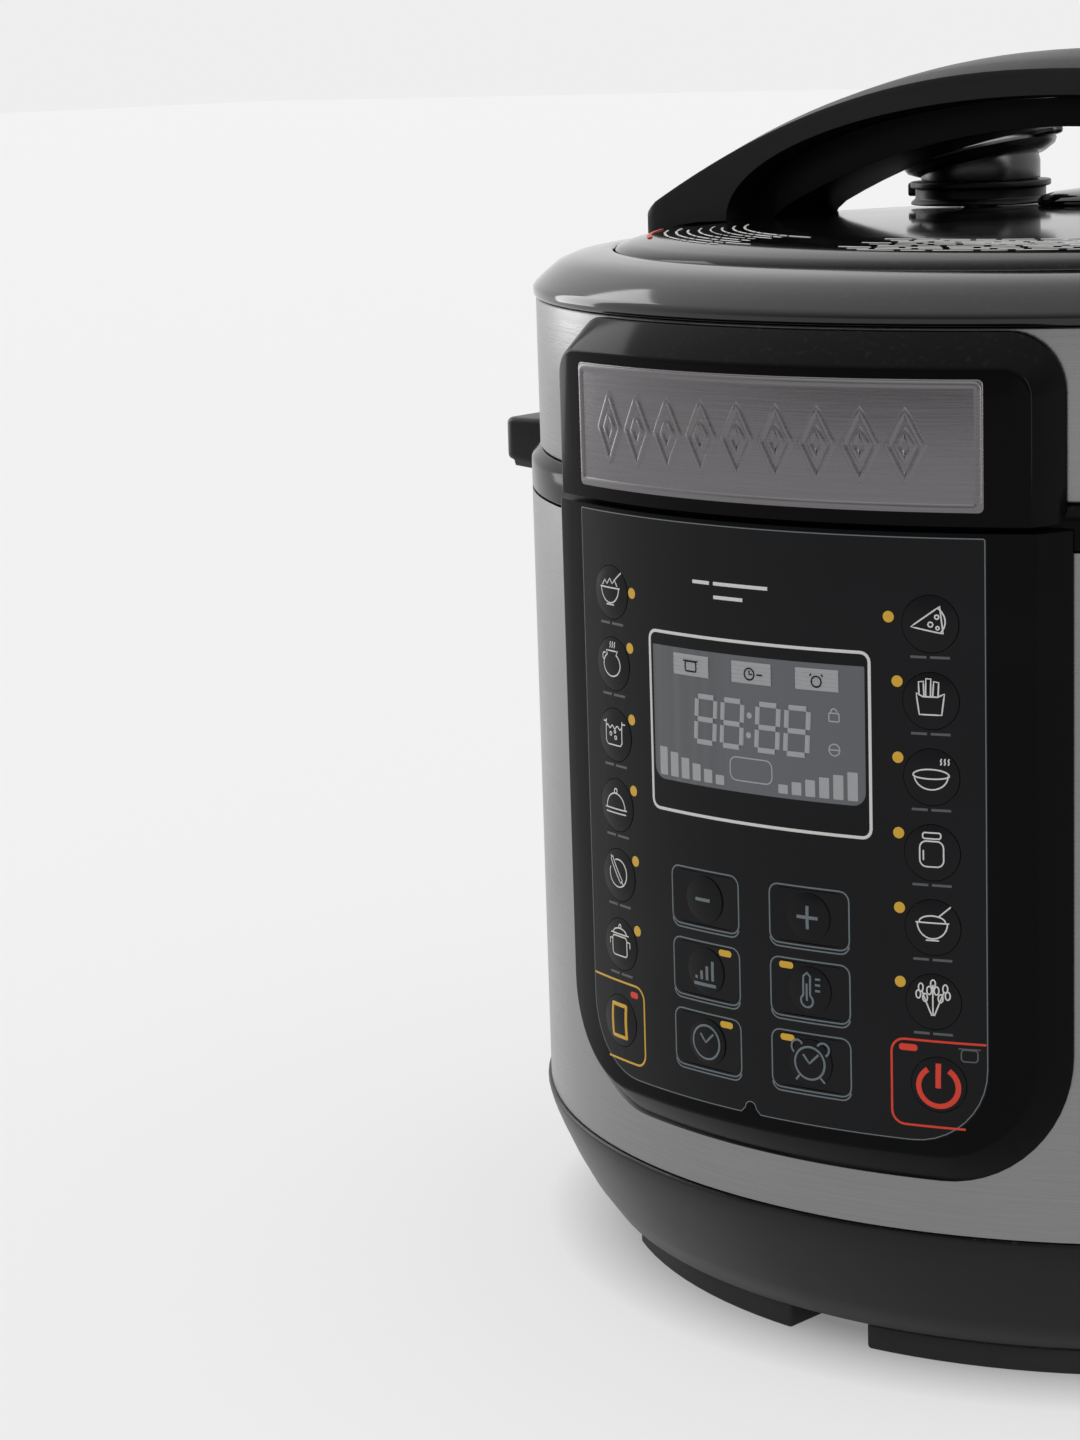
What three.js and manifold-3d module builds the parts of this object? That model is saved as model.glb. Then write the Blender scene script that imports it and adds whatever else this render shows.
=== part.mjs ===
// Electric pressure cooker of the five litre class, with a lift-off bayonet lid.
// Millimetres, +Z up. The origin is on the pot's axis at the level of the feet.
// The control panel faces -Y and the two side handles lie along X.
import * as THREE from 'three';
import { mergeVertices } from 'three/addons/utils/BufferGeometryUtils.js';
import Module from 'manifold-3d';

const wasm = await Module();
wasm.setup();

// ---- General fits -------------------------------------------------------------------------
const GAP = 0.3;                 // clearance between pieces that rest on each other
const SIDES = 40;                // facets round a large ring
const PANEL_STEPS = 10;          // flats across a curved panel
const WINDOW_STEPS = 4;          // flats across the display window
const KEY_SIDES = 10;            // facets round a key
const CUT_REACH = 5;             // how far a cutting tool runs past what it cuts

// ---- Body ---------------------------------------------------------------------------------
const FOOT_HEIGHT = 6.2;
const FOOT_INSET = 18.5;         // shell's side to the feet's outer side
const FOOT_WIDTH = 13.5;
const FOOT_ANGLE = 21.5;         // from the front or back centre line to a foot's middle, degrees
const FOOT_SPAN = 33;            // degrees
const BOWL_HEIGHT = 31.2;        // moulded base, from its underside to the shell's seat
const BOWL_FLARE = 0.9;          // how far the bowl's rim stands out past the shell
const BOWL_WALL = 2.8;
const BOWL_PROFILE = [           // inset from the rim, and share of the bowl's height
  [18.4, 0], [14.4, 0.061], [9.6, 0.279], [5.8, 0.506], [2.7, 0.728], [0.9, 0.872], [0, 1],
];
const BOWL_INNER_SHOULDER = 0.86; // share of the height where the inside turns in
const BOWL_INNER_KNEE = 0.288;
const SHELL_R = 140;
const SHELL_WALL = 1;
const SHELL_HEIGHT = 151;
const SPIGOT_WALL = 2;
const SPIGOT_LENGTH = 8.3;
const RING_HEIGHT = 7.7;         // top ring's cylindrical side
const RING_CHAMFER = 2;
const MOAT_DEPTH = 5.6;
const MOAT_WIDTH = 3;            // at its floor
const MOAT_INSET = 5.5;          // shell's side to the moat

// ---- Pots and heater ----------------------------------------------------------------------
const BODY_ROOM = 30.8;          // inner pot's inside to the shell's outside
const POT_WALL = 1.4;
const POT_RIM_WIDTH = 7;
const POT_CORNER = 12;
const WELL_CLEARANCE = 3.4;      // between the inner pot and the outer pot
const WELL_WALL = 1.2;
const WELL_FLANGE_WIDTH = 13.2;
const RING_SEAT_WIDTH = 11.6;    // outer pot's wall to the top ring's inner edge
const UPSTAND_HEIGHT = 19.7;
const LUG_COUNT = 6;
const LUG_SPAN = 24;             // degrees
const LUG_REACH = 6;             // how far the outer pot's lugs stand in
const LUG_THICKNESS = 2.5;
const LUG_RADIAL_CLEARANCE = 1.8;
const LUG_DROP = 2;              // top of the upstand down to the lugs
const HEATER_INSET = 14.2;       // pot's inside to the heating plate's edge
const HEATER_THICKNESS = 9.1;
const HEATER_RISE = 16.1;        // outer pot's floor to the heating plate's top
const SENSOR_R = 11.5;
const SENSOR_CLEARANCE = 1.5;
const WELL_CORNER = 7;

// ---- Lid ----------------------------------------------------------------------------------
const BAND_INSET = 2.3;          // shell's side to the lid band
const BAND_WALL = 0.8;
const BAND_HEIGHT = 36.3;
const COVER_LIP_PROUD = 0.6;     // lip past the band
const COVER_SKIRT = 12;
const COVER_RISE = 6.4;          // lip's underside to the top of the shoulder
const COVER_CHAMFER = 4.8;
const PLATE_SINK = 1.4;          // how deep the plate's edge sits in the cover
const COVER_FLOOR_RISE = 4;      // lip's underside to the cover's underside
const COVER_SEAT_RISE = 7.2;     // lip's underside to the plate's seat
const PLATE_INSET = 19.7;        // band to the plate's edge
const PLATE_RISE = 8;            // from the plate's seat to its crown
const PLATE_WALL = 2.6;
const GASKET_HEIGHT = 6;
const GASKET_WIDTH = 11;
const LID_FLANGE_THICKNESS = 2.5;
const LID_DISC_RISE = 4.1;
const LID_DISC_WALL = 2;
const LID_DISC_INSET = 24.4;     // flange's edge to the raised disc
const LID_SLOPE_INSET = 16.4;    // flange's edge to the foot of the disc's slope
const LUG_SIDE_CLEARANCE = 0.8;
const CORE_R = 47;
const CORE_WALL = 5;

// ---- Lid handle ---------------------------------------------------------------------------
const HANDLE_RISE = 36.1;        // plate's crown to the edge of the handle's front face
const HANDLE_CROWN = 3.6;
const HANDLE_END_DROP = 33.4;
const HANDLE_HALF_DEPTH = 22;
const HANDLE_FLARE = 6;          // extra half depth at the feet
const SEAM_INSET = 24;           // handle's end to the seam's end
const SEAM_BELOW_EDGE = 7.5;
const GRIP_INSET = 8;            // lower part's face behind the cover's
const ARCH_INSET = 6.5;          // seam's end to the finger arch
const ARCH_BELOW_SEAM = 7.1;
const ARCH_RISE = 19.5;          // arch's shoulders up to its top
const ARCH_CORNER = 4;

// ---- Valves -------------------------------------------------------------------------------
const VALVE_X = -63;
const VALVE_Y = 47;
const COLLAR_R = 17.3;
const COLLAR_RISE = 5.6;         // plate's crown to the collar's top
const CAP_R = 20.5;
const CAP_TILT = 11;             // degrees
const CAP_BODY_R = 15.8;
const CAP_THICKNESS = 3.4;
const LEVER_REACH = 26;
const PIPE_R = 5.5;
const PIPE_BORE_R = 2.5;
const SHIELD_R = 12;
const SHIELD_WALL = 1.5;
const FLOAT_X = -25;
const FLOAT_Y = 50;
const FLOAT_R = 2.2;
const FLOAT_TRAVEL = 4;
const HOOD_R = 19;
const HOOD_RISE = 3.5;

// ---- Control panel ------------------------------------------------------------------------
const PANEL_PROUD = 7;           // panel's face past the shell
const BEZEL_FOOT_ANGLE = 28.4;   // half angles, degrees
const BEZEL_FACE_ANGLE = 24.7;
const BEZEL_RISE = 12.5;         // shell's lower edge to the bezel
const BEZEL_OVERLAP = 4.7;       // how far the bezel runs up the top ring
const BEZEL_CORNER = 30;
const FILM_THICKNESS = 0.8;
const FILM_ANGLE = 21.5;
const FILM_LOWER_MARGIN = 10.7;
const FILM_UPPER_MARGIN = 0.8;
const FILM_HEIGHT_AS_DRAWN = 132; // the heights on the film below belong to this one
const FILM_CORNER = 17;
const WINDOW_ANGLE = 11.5;
const WINDOW_LOW = 66.5;         // above the film's lower edge
const WINDOW_HIGH = 106.8;
const LCD_SIDE_MARGIN = 1.8;
const LCD_LOWER_MARGIN = 4.3;
const LCD_UPPER_MARGIN = 1.5;
const LCD_THICKNESS = 4;
const KEY_PROUD = 0.6;
const KEY_TRAVEL = 0.5;
const KEY_CLEARANCE = 0.4;
const ROUND_KEY_R_AS_DRAWN = 6.4;
const ROUND_KEY_LOW = 31.6;      // lowest row above the film's lower edge
const ROUND_KEY_HIGH = 113.6;    // highest row
const ROUND_KEY_ROWS = 6;
const ROUND_KEY_ANGLE = 16.8;
const COMMAND_KEY_ANGLE = 17.2;
const COMMAND_KEY_LOW = 13.2;
const CENTRE_KEY_ANGLE = 5.5;
const CENTRE_KEY_WIDTH = 18.6;
const CENTRE_KEY_HEIGHT_AS_DRAWN = 12;
const CENTRE_KEY_CORNER = 3;
const CENTRE_KEY_ROWS = [47.5, 31, 14.5];
const SHELL_WINDOW_ANGLE = 22;
const SHELL_WINDOW_LOW = 2.8;    // opening behind the film
const SHELL_WINDOW_HIGH = 118.8;
const BOARD_ANGLE = 20;
const BOARD_THICKNESS = 1.6;
const BOARD_CORNER_ROOM = 1.462; // shell's side to the board's front corners
const KEY_ROOT = 1.2;            // keys' inner ends past the shell's side
const POST_R = 2;

// ---- Lid badge ----------------------------------------------------------------------------
const BADGE_FOOT_ANGLE = 27.8;   // half angles, degrees
const BADGE_FACE_ANGLE = 24.4;
const BADGE_HEIGHT = 39.8;
const BADGE_CORNER = 13;
const BADGE_LIP_CLEARANCE = 1.4; // panel bezel's top edge to the badge's lower edge
const NAMEPLATE_ANGLE = 21.3;
const NAMEPLATE_BOTTOM = 2.8;    // above the badge's lower edge
const NAMEPLATE_HEIGHT = 27.8;
const NAMEPLATE_THICKNESS = 0.8;

// ---- Side handles and rear fittings -------------------------------------------------------
const GRIP_REACH = 24.5;
const GRIP_HALF_WIDTH = 34;
const GRIP_RISE = 0.5;           // top ring's shoulder to the handle's top
const GRIP_ROOT_THICKNESS = 15.5;
const GRIP_TIP_THICKNESS = 11.5;
const GRIP_CORNER = 4;
const INLET_HALF_WIDTH = 17;
const INLET_RISE = 12;           // shell's lower edge to the inlet
const INLET_HEIGHT = 28;
const INLET_WALL = 4.5;
const INLET_BACK_CLEARANCE = 4.8; // outer pot to the inlet's inner end
const INLET_PROUD = 7;
const SOCKET_DEPTH = 18;
const PIN_HALF_WIDTH = 1;
const PIN_HALF_HEIGHT = 2;
const PIN_SPACING = 7;
const PIN_SETBACK = 4;           // inlet's face to the pins' tips
const CUP_HALF_WIDTH = 30.5;
const CUP_DROP = 42.6;           // shell's upper edge to the cup's underside
const CUP_HEIGHT = 31.2;
const CUP_BACK_CLEARANCE = 6.3;  // outer pot to the cup
const CUP_WALL = 1.6;
const CUP_PROUD = 9.5;
const BRACKET_WALL = 2;
const BRACKET_LIP = 4;
const BRACKET_LIP_THICKNESS = 2;

// ---- Heights that follow from the stack ---------------------------------------------------
const BOWL_BOTTOM = FOOT_HEIGHT + GAP;
const SHELL_BOTTOM = BOWL_BOTTOM + BOWL_HEIGHT + GAP;
const SHELL_TOP = SHELL_BOTTOM + SHELL_HEIGHT;
const WELL_FLOOR = SHELL_BOTTOM;
const HEATER_TOP = WELL_FLOOR + HEATER_RISE;
const RING_BOTTOM = SHELL_TOP + GAP;
const RING_SHOULDER = RING_BOTTOM + RING_HEIGHT;
const RING_TOP = RING_SHOULDER + RING_CHAMFER;
const FLANGE_BOTTOM = RING_TOP + GAP;
const FLANGE_TOP = FLANGE_BOTTOM + WELL_WALL;
const RIM_BOTTOM = FLANGE_TOP + GAP;
const RIM_TOP = RIM_BOTTOM + POT_WALL;
const GASKET_BOTTOM = RIM_TOP + GAP;
const LID_FLANGE_BOTTOM = GASKET_BOTTOM + GASKET_HEIGHT + GAP;
const LID_FLANGE_TOP = LID_FLANGE_BOTTOM + LID_FLANGE_THICKNESS;
const LID_DISC_BOTTOM = LID_FLANGE_BOTTOM + LID_DISC_RISE;
const LID_DISC_TOP = LID_DISC_BOTTOM + LID_DISC_WALL;
const UPSTAND_TOP = FLANGE_BOTTOM + UPSTAND_HEIGHT;
const BAND_BOTTOM = RING_TOP + GAP;
const BAND_TOP = BAND_BOTTOM + BAND_HEIGHT;
const COVER_LIP = BAND_TOP + GAP;
const COVER_UNDERSIDE = COVER_LIP + COVER_FLOOR_RISE;
const PLATE_SEAT = COVER_LIP + COVER_SEAT_RISE;
const PLATE_BOTTOM = PLATE_SEAT + GAP;
const PLATE_CROWN = PLATE_BOTTOM + PLATE_RISE;
const COLLAR_TOP = PLATE_CROWN + COLLAR_RISE;
const GRIP_TOP = RING_SHOULDER + GRIP_RISE;
const INLET_BOTTOM = SHELL_BOTTOM + INLET_RISE;
const CUP_BOTTOM = SHELL_TOP - CUP_DROP;
const BEZEL_BOTTOM = SHELL_BOTTOM + BEZEL_RISE;
const BEZEL_TOP = RING_BOTTOM + BEZEL_OVERLAP;
const FILM_BOTTOM = BEZEL_BOTTOM + FILM_LOWER_MARGIN;
const FILM_TOP = BEZEL_TOP - FILM_UPPER_MARGIN;
const PANEL_SCALE = (FILM_TOP - FILM_BOTTOM) / FILM_HEIGHT_AS_DRAWN;
const onFilm = (height) => FILM_BOTTOM + height * PANEL_SCALE;
const WINDOW_BOTTOM = onFilm(WINDOW_LOW);
const WINDOW_TOP = onFilm(WINDOW_HIGH);
const LCD_BOTTOM = WINDOW_BOTTOM + LCD_LOWER_MARGIN;
const LCD_TOP = WINDOW_TOP - LCD_UPPER_MARGIN;
const SHELL_WINDOW_BOTTOM = onFilm(SHELL_WINDOW_LOW);
const SHELL_WINDOW_TOP = onFilm(SHELL_WINDOW_HIGH);
const ROUND_KEY_R = ROUND_KEY_R_AS_DRAWN * PANEL_SCALE;
const CENTRE_KEY_HEIGHT = CENTRE_KEY_HEIGHT_AS_DRAWN * PANEL_SCALE;
const BADGE_BOTTOM = BEZEL_TOP + BADGE_LIP_CLEARANCE;

// ---- Radii that follow --------------------------------------------------------------------
const SPIGOT_R = SHELL_R - SHELL_WALL - GAP;
const POT_INNER_R = SHELL_R - BODY_ROOM;
const POT_OUTER_R = POT_INNER_R + POT_WALL;
const WELL_INNER_R = POT_OUTER_R + WELL_CLEARANCE;
const WELL_OUTER_R = WELL_INNER_R + WELL_WALL;
const UPSTAND_OUTER_R = WELL_OUTER_R + WELL_FLANGE_WIDTH;
const UPSTAND_INNER_R = UPSTAND_OUTER_R - WELL_WALL;
const LID_LUG_R = UPSTAND_INNER_R - LUG_RADIAL_CLEARANCE;
const LID_FLANGE_R = UPSTAND_INNER_R - LUG_REACH - LUG_SIDE_CLEARANCE;
const FITTING_R = SHELL_R + GAP;
const FOOT_OUTER_R = SHELL_R - FOOT_INSET;
const HEATER_R = POT_INNER_R - HEATER_INSET;
const BAND_R = SHELL_R - BAND_INSET;
const COVER_LIP_R = BAND_R + COVER_LIP_PROUD;
const PLATE_R = BAND_R - PLATE_INSET;
const BEZEL_FACE_R = SHELL_R + PANEL_PROUD;
const HANDLE_HALF_LENGTH = PLATE_R;
const SEAM_HALF_LENGTH = HANDLE_HALF_LENGTH - SEAM_INSET;
const ARCH_HALF_LENGTH = SEAM_HALF_LENGTH - ARCH_INSET;
const ARCH_SHOULDER = ARCH_HALF_LENGTH - ARCH_CORNER;
const ARCH_RADIUS = (ARCH_SHOULDER ** 2 + ARCH_RISE ** 2) / (2 * ARCH_RISE);
const INLET_FACE = SHELL_R + INLET_PROUD;
const INLET_BACK = WELL_OUTER_R + INLET_BACK_CLEARANCE;
const CUP_FACE = SHELL_R + CUP_PROUD;
const CUP_BACK = WELL_OUTER_R + CUP_BACK_CLEARANCE;

// ---- Solids -------------------------------------------------------------------------------
const radians = THREE.MathUtils.degToRad;
const LCD_HALF_WIDTH = BEZEL_FACE_R * Math.sin(radians(WINDOW_ANGLE)) - LCD_SIDE_MARGIN;
const BOARD_HALF_WIDTH = SHELL_R * Math.sin(radians(BOARD_ANGLE));
const BOARD_DEPTH = Math.sqrt((SHELL_R - BOARD_CORNER_ROOM) ** 2 - BOARD_HALF_WIDTH ** 2);

// A closed three.js geometry as a manifold solid with its faces pointing out.
function solid(geometry) {
  const bare = new THREE.BufferGeometry();
  const source = geometry.index ? geometry.toNonIndexed() : geometry;
  bare.setAttribute('position', source.getAttribute('position').clone());
  const merged = mergeVertices(bare, 1e-4);
  const position = merged.getAttribute('position').array;
  const index = Array.from(merged.index.array);
  const kept = [];
  let volume = 0;
  for (let i = 0; i < index.length; i += 3) {
    const [a, b, c] = index.slice(i, i + 3);
    if (a === b || b === c || c === a) continue;
    kept.push(a, b, c);
    const p = [a, b, c].map((v) => new THREE.Vector3().fromArray(position, 3 * v));
    volume += p[0].dot(p[1].cross(p[2]));
  }
  if (volume < 0) kept.reverse();
  return new wasm.Manifold(new wasm.Mesh({
    numProp: 3,
    vertProperties: new Float32Array(position),
    triVerts: new Uint32Array(kept),
  }));
}

function geometryOf(manifold) {
  const mesh = manifold.getMesh();
  const geometry = new THREE.BufferGeometry();
  geometry.setAttribute('position', new THREE.BufferAttribute(mesh.vertProperties, 3));
  geometry.setIndex(new THREE.BufferAttribute(mesh.triVerts, 1));
  return geometry;
}

// A closed outline of [radius, height] points turned about Z.
function turned(outline, sides = SIDES) {
  const points = outline.map(([r, z]) => new THREE.Vector2(r, z));
  const onAxis = outline[0][0] === 0 && outline[outline.length - 1][0] === 0;
  if (!onAxis) points.push(points[0].clone());
  return solid(new THREE.LatheGeometry(points, sides).rotateX(Math.PI / 2));
}

// A flat shape in plan, raised from one height to another.
function raised(shape, bottom, top, curveSegments = 8) {
  const geometry = new THREE.ExtrudeGeometry(shape, {
    depth: top - bottom, bevelEnabled: false, curveSegments,
  });
  return solid(geometry.translate(0, 0, bottom));
}

// A shape drawn as X across and Z up, carried from one Y to another.
function carried(shape, nearY, farY, curveSegments = 5) {
  const geometry = new THREE.ExtrudeGeometry(shape, {
    depth: farY - nearY, bevelEnabled: false, curveSegments,
  });
  return solid(geometry.rotateX(Math.PI / 2).translate(0, farY, 0));
}

function box(x0, x1, y0, y1, z0, z1) {
  const geometry = new THREE.BoxGeometry(x1 - x0, y1 - y0, z1 - z0);
  return solid(geometry.translate((x0 + x1) / 2, (y0 + y1) / 2, (z0 + z1) / 2));
}

function upright(x, y, radius, bottom, top, sides = 16) {
  const geometry = new THREE.CylinderGeometry(radius, radius, top - bottom, sides);
  return solid(geometry.rotateX(Math.PI / 2).translate(x, y, (bottom + top) / 2));
}

// A point at a panel angle: 0 is the front, positive towards +X.
function at(radius, degrees) {
  const a = radians(degrees);
  return [radius * Math.sin(a), -radius * Math.cos(a)];
}

// A sector of a ring, its two ends at their own half angles.
function sector(innerR, outerR, innerAngle, outerAngle, bottom, top, steps = PANEL_STEPS) {
  const shape = new THREE.Shape();
  for (let i = 0; i <= steps; i += 1) {
    const [x, y] = at(outerR, outerAngle * (2 * i / steps - 1));
    if (i === 0) shape.moveTo(x, y);
    else shape.lineTo(x, y);
  }
  for (let i = 0; i <= steps; i += 1) {
    shape.lineTo(...at(innerR, innerAngle * (1 - 2 * i / steps)));
  }
  shape.closePath();
  return raised(shape, bottom, top);
}

// A rectangle about x = 0 with rounded lower or upper corners.
function panelOutline(halfWidth, bottom, top, lowerR, upperR) {
  const shape = new THREE.Shape();
  shape.moveTo(-halfWidth + lowerR, bottom);
  shape.lineTo(halfWidth - lowerR, bottom);
  if (lowerR) shape.absarc(halfWidth - lowerR, bottom + lowerR, lowerR, -Math.PI / 2, 0);
  shape.lineTo(halfWidth, top - upperR);
  if (upperR) shape.absarc(halfWidth - upperR, top - upperR, upperR, 0, Math.PI / 2);
  shape.lineTo(-halfWidth + upperR, top);
  if (upperR) shape.absarc(-halfWidth + upperR, top - upperR, upperR, Math.PI / 2, Math.PI);
  shape.lineTo(-halfWidth, bottom + lowerR);
  if (lowerR) shape.absarc(-halfWidth + lowerR, bottom + lowerR, lowerR, Math.PI, 1.5 * Math.PI);
  return shape;
}

function turnedBy(manifold, degrees) {
  return manifold.rotate([0, 0, degrees]);
}

// ---- Scene helpers ------------------------------------------------------------------------
const looks = {
  gloss: { color: 0x0b0b0d, roughness: 0.12, metalness: 0 },
  satin: { color: 0x141416, roughness: 0.38, metalness: 0 },
  steel: { color: 0x9d9da0, roughness: 0.3, metalness: 1 },
  aluminium: { color: 0xb9babd, roughness: 0.4, metalness: 1 },
  coating: { color: 0x2a2a2c, roughness: 0.5, metalness: 0.2 },
  film: { color: 0x09090b, roughness: 0.2, metalness: 0 },
  display: { color: 0x8f9496, roughness: 0.35, metalness: 0 },
  seal: { color: 0xdfe0da, roughness: 0.6, metalness: 0 },
  rubber: { color: 0x1c1c1c, roughness: 0.8, metalness: 0 },
  board: { color: 0x1f5a36, roughness: 0.5, metalness: 0 },
  clear: { color: 0xd5dadd, roughness: 0.1, metalness: 0, transparent: true, opacity: 0.5 },
};

function piece(name, look, manifold) {
  const mesh = new THREE.Mesh(geometryOf(manifold), new THREE.MeshStandardMaterial(looks[look]));
  mesh.name = name;
  return mesh;
}

// ---- Body pieces --------------------------------------------------------------------------
function baseHousing() {
  const rim = SHELL_R + BOWL_FLARE;
  const top = BOWL_BOTTOM + BOWL_HEIGHT;
  const spigotTop = SHELL_BOTTOM + SPIGOT_LENGTH;
  const side = BOWL_PROFILE.map(([inset, share]) => [rim - inset, BOWL_BOTTOM + share * BOWL_HEIGHT]);
  const floorR = side[0][0];
  const inner = SPIGOT_R - SPIGOT_WALL;
  return turned([
    [0, BOWL_BOTTOM],
    ...side,
    [SPIGOT_R, top],
    [SPIGOT_R, spigotTop],
    [inner, spigotTop],
    [inner, BOWL_BOTTOM + BOWL_INNER_SHOULDER * BOWL_HEIGHT],
    [side[2][0] - BOWL_WALL, BOWL_BOTTOM + BOWL_INNER_KNEE * BOWL_HEIGHT],
    [floorR, BOWL_BOTTOM + BOWL_WALL],
    [0, BOWL_BOTTOM + BOWL_WALL],
  ]);
}

function foot(direction) {
  const pad = sector(FOOT_OUTER_R - FOOT_WIDTH, FOOT_OUTER_R, FOOT_SPAN / 2, FOOT_SPAN / 2, 0, FOOT_HEIGHT, 6);
  return turnedBy(pad, direction);
}

function outerShell() {
  const tube = turned([
    [SHELL_R, SHELL_BOTTOM],
    [SHELL_R, SHELL_TOP],
    [SHELL_R - SHELL_WALL, SHELL_TOP],
    [SHELL_R - SHELL_WALL, SHELL_BOTTOM],
  ]);
  const panelWindow = sector(
    SHELL_R - 4 * CUT_REACH, SHELL_R + CUT_REACH, SHELL_WINDOW_ANGLE, SHELL_WINDOW_ANGLE,
    SHELL_WINDOW_BOTTOM, SHELL_WINDOW_TOP,
  );
  const inletHalf = INLET_HALF_WIDTH + GAP;
  const inletWindow = box(
    -inletHalf, inletHalf, WELL_OUTER_R, SHELL_R + CUT_REACH,
    INLET_BOTTOM - GAP, INLET_BOTTOM + INLET_HEIGHT + GAP,
  );
  const bracketHalf = CUP_HALF_WIDTH + 2 * GAP + BRACKET_WALL;
  const bracketWindow = box(
    -bracketHalf, bracketHalf, WELL_OUTER_R, SHELL_R + CUT_REACH,
    CUP_BOTTOM - 2 * GAP - BRACKET_WALL, CUP_BOTTOM + CUP_HEIGHT + 2 * GAP + BRACKET_WALL,
  );
  return tube.subtract(panelWindow).subtract(inletWindow).subtract(bracketWindow);
}

function bodyTopRing() {
  const moatOuter = SHELL_R - MOAT_INSET;
  const moatInner = moatOuter - MOAT_WIDTH - 2;
  const moatFloor = RING_TOP - MOAT_DEPTH;
  const inner = WELL_OUTER_R + RING_SEAT_WIDTH;
  const inside = SPIGOT_R - SPIGOT_WALL;
  const spigotBottom = RING_BOTTOM - SPIGOT_LENGTH + 1;
  return turned([
    [SHELL_R, RING_BOTTOM],
    [SHELL_R, RING_SHOULDER],
    [SHELL_R - RING_CHAMFER, RING_TOP],
    [moatOuter, RING_TOP],
    [moatOuter - 1, moatFloor],
    [moatInner + 1, moatFloor],
    [moatInner, RING_TOP],
    [inner, RING_TOP],
    [inner, RING_BOTTOM],
    [inside, RING_BOTTOM],
    [inside, spigotBottom],
    [SPIGOT_R, spigotBottom],
    [SPIGOT_R, RING_BOTTOM],
  ]);
}

// A flat ledge to lift by, at the +X side; the other side is its mirror.
function sideHandle() {
  const reach = SHELL_R + GRIP_REACH;
  const half = GRIP_HALF_WIDTH;
  const plan = new THREE.Shape();
  plan.moveTo(SHELL_R - 20, -half);
  plan.lineTo(reach - GRIP_CORNER, -half);
  plan.absarc(reach - GRIP_CORNER, -half + GRIP_CORNER, GRIP_CORNER, -Math.PI / 2, 0);
  plan.lineTo(reach, half - GRIP_CORNER);
  plan.absarc(reach - GRIP_CORNER, half - GRIP_CORNER, GRIP_CORNER, 0, Math.PI / 2);
  plan.lineTo(SHELL_R - 20, half);
  plan.closePath();
  const section = new THREE.Shape();
  section.moveTo(SHELL_R - 20, GRIP_TOP - GRIP_ROOT_THICKNESS);
  section.lineTo(SHELL_R + 6, GRIP_TOP - GRIP_ROOT_THICKNESS);
  section.lineTo(reach, GRIP_TOP - GRIP_TIP_THICKNESS);
  section.lineTo(reach, GRIP_TOP);
  section.lineTo(SHELL_R - 20, GRIP_TOP);
  section.closePath();
  const bodyEnvelope = turned([
    [0, 0], [FITTING_R, 0], [FITTING_R, RING_TOP], [0, RING_TOP],
  ]);
  return raised(plan, 0, COVER_LIP).intersect(carried(section, -half, half)).subtract(bodyEnvelope);
}

function outerPot() {
  const corner = WELL_CORNER;
  const floor = WELL_FLOOR;
  const hole = SENSOR_R + SENSOR_CLEARANCE;
  let pot = turned([
    [hole, floor],
    [WELL_OUTER_R - corner, floor],
    [WELL_OUTER_R, floor + corner],
    [WELL_OUTER_R, FLANGE_BOTTOM],
    [UPSTAND_OUTER_R, FLANGE_BOTTOM],
    [UPSTAND_OUTER_R, UPSTAND_TOP],
    [UPSTAND_INNER_R, UPSTAND_TOP],
    [UPSTAND_INNER_R, FLANGE_TOP],
    [WELL_INNER_R, FLANGE_TOP],
    [WELL_INNER_R, floor + WELL_WALL + corner],
    [WELL_INNER_R - corner, floor + WELL_WALL],
    [hole, floor + WELL_WALL],
  ]);
  const lugTop = UPSTAND_TOP - LUG_DROP;
  const half = LUG_SPAN / 2;
  const lug = sector(
    UPSTAND_INNER_R - LUG_REACH, UPSTAND_OUTER_R - WELL_WALL / 2, half, half, lugTop - LUG_THICKNESS, lugTop, 4,
  );
  for (let i = 0; i < LUG_COUNT; i += 1) {
    pot = pot.add(turnedBy(lug, (i + 0.5) * 360 / LUG_COUNT));
  }
  return pot;
}

function innerPot() {
  const floor = HEATER_TOP + GAP;
  return turned([
    [0, floor],
    [POT_OUTER_R - POT_CORNER, floor],
    [POT_OUTER_R - POT_CORNER / 3, floor + POT_CORNER / 3],
    [POT_OUTER_R, floor + POT_CORNER],
    [POT_OUTER_R, RIM_BOTTOM],
    [POT_OUTER_R + POT_RIM_WIDTH, RIM_BOTTOM],
    [POT_OUTER_R + POT_RIM_WIDTH, RIM_TOP],
    [POT_INNER_R, RIM_TOP],
    [POT_INNER_R, floor + POT_CORNER + 0.6],
    [POT_INNER_R - POT_CORNER / 3, floor + POT_CORNER / 3 + 1],
    [POT_INNER_R - POT_CORNER, floor + POT_WALL],
    [0, floor + POT_WALL],
  ]);
}

function heatingPlate() {
  const hole = SENSOR_R + SENSOR_CLEARANCE;
  const bottom = HEATER_TOP - HEATER_THICKNESS;
  return turned([
    [hole, bottom],
    [HEATER_R - 2, bottom],
    [HEATER_R, bottom + 2],
    [HEATER_R, HEATER_TOP - 2.6],
    [HEATER_R - 3, HEATER_TOP],
    [hole, HEATER_TOP],
  ], 32);
}

function temperatureSensor() {
  return turned([
    [0, WELL_FLOOR - 10],
    [SENSOR_R - 4, WELL_FLOOR - 10],
    [SENSOR_R - 4, WELL_FLOOR + 4],
    [SENSOR_R, WELL_FLOOR + 6],
    [SENSOR_R, HEATER_TOP - 1],
    [SENSOR_R - 1, HEATER_TOP],
    [0, HEATER_TOP],
  ], 16);
}

function pressureSwitch() {
  const top = WELL_FLOOR - GAP;
  return box(44, 72, -9, 9, top - 12, top - 2).add(upright(58, 0, 3, top - 3, top, 12));
}

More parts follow.
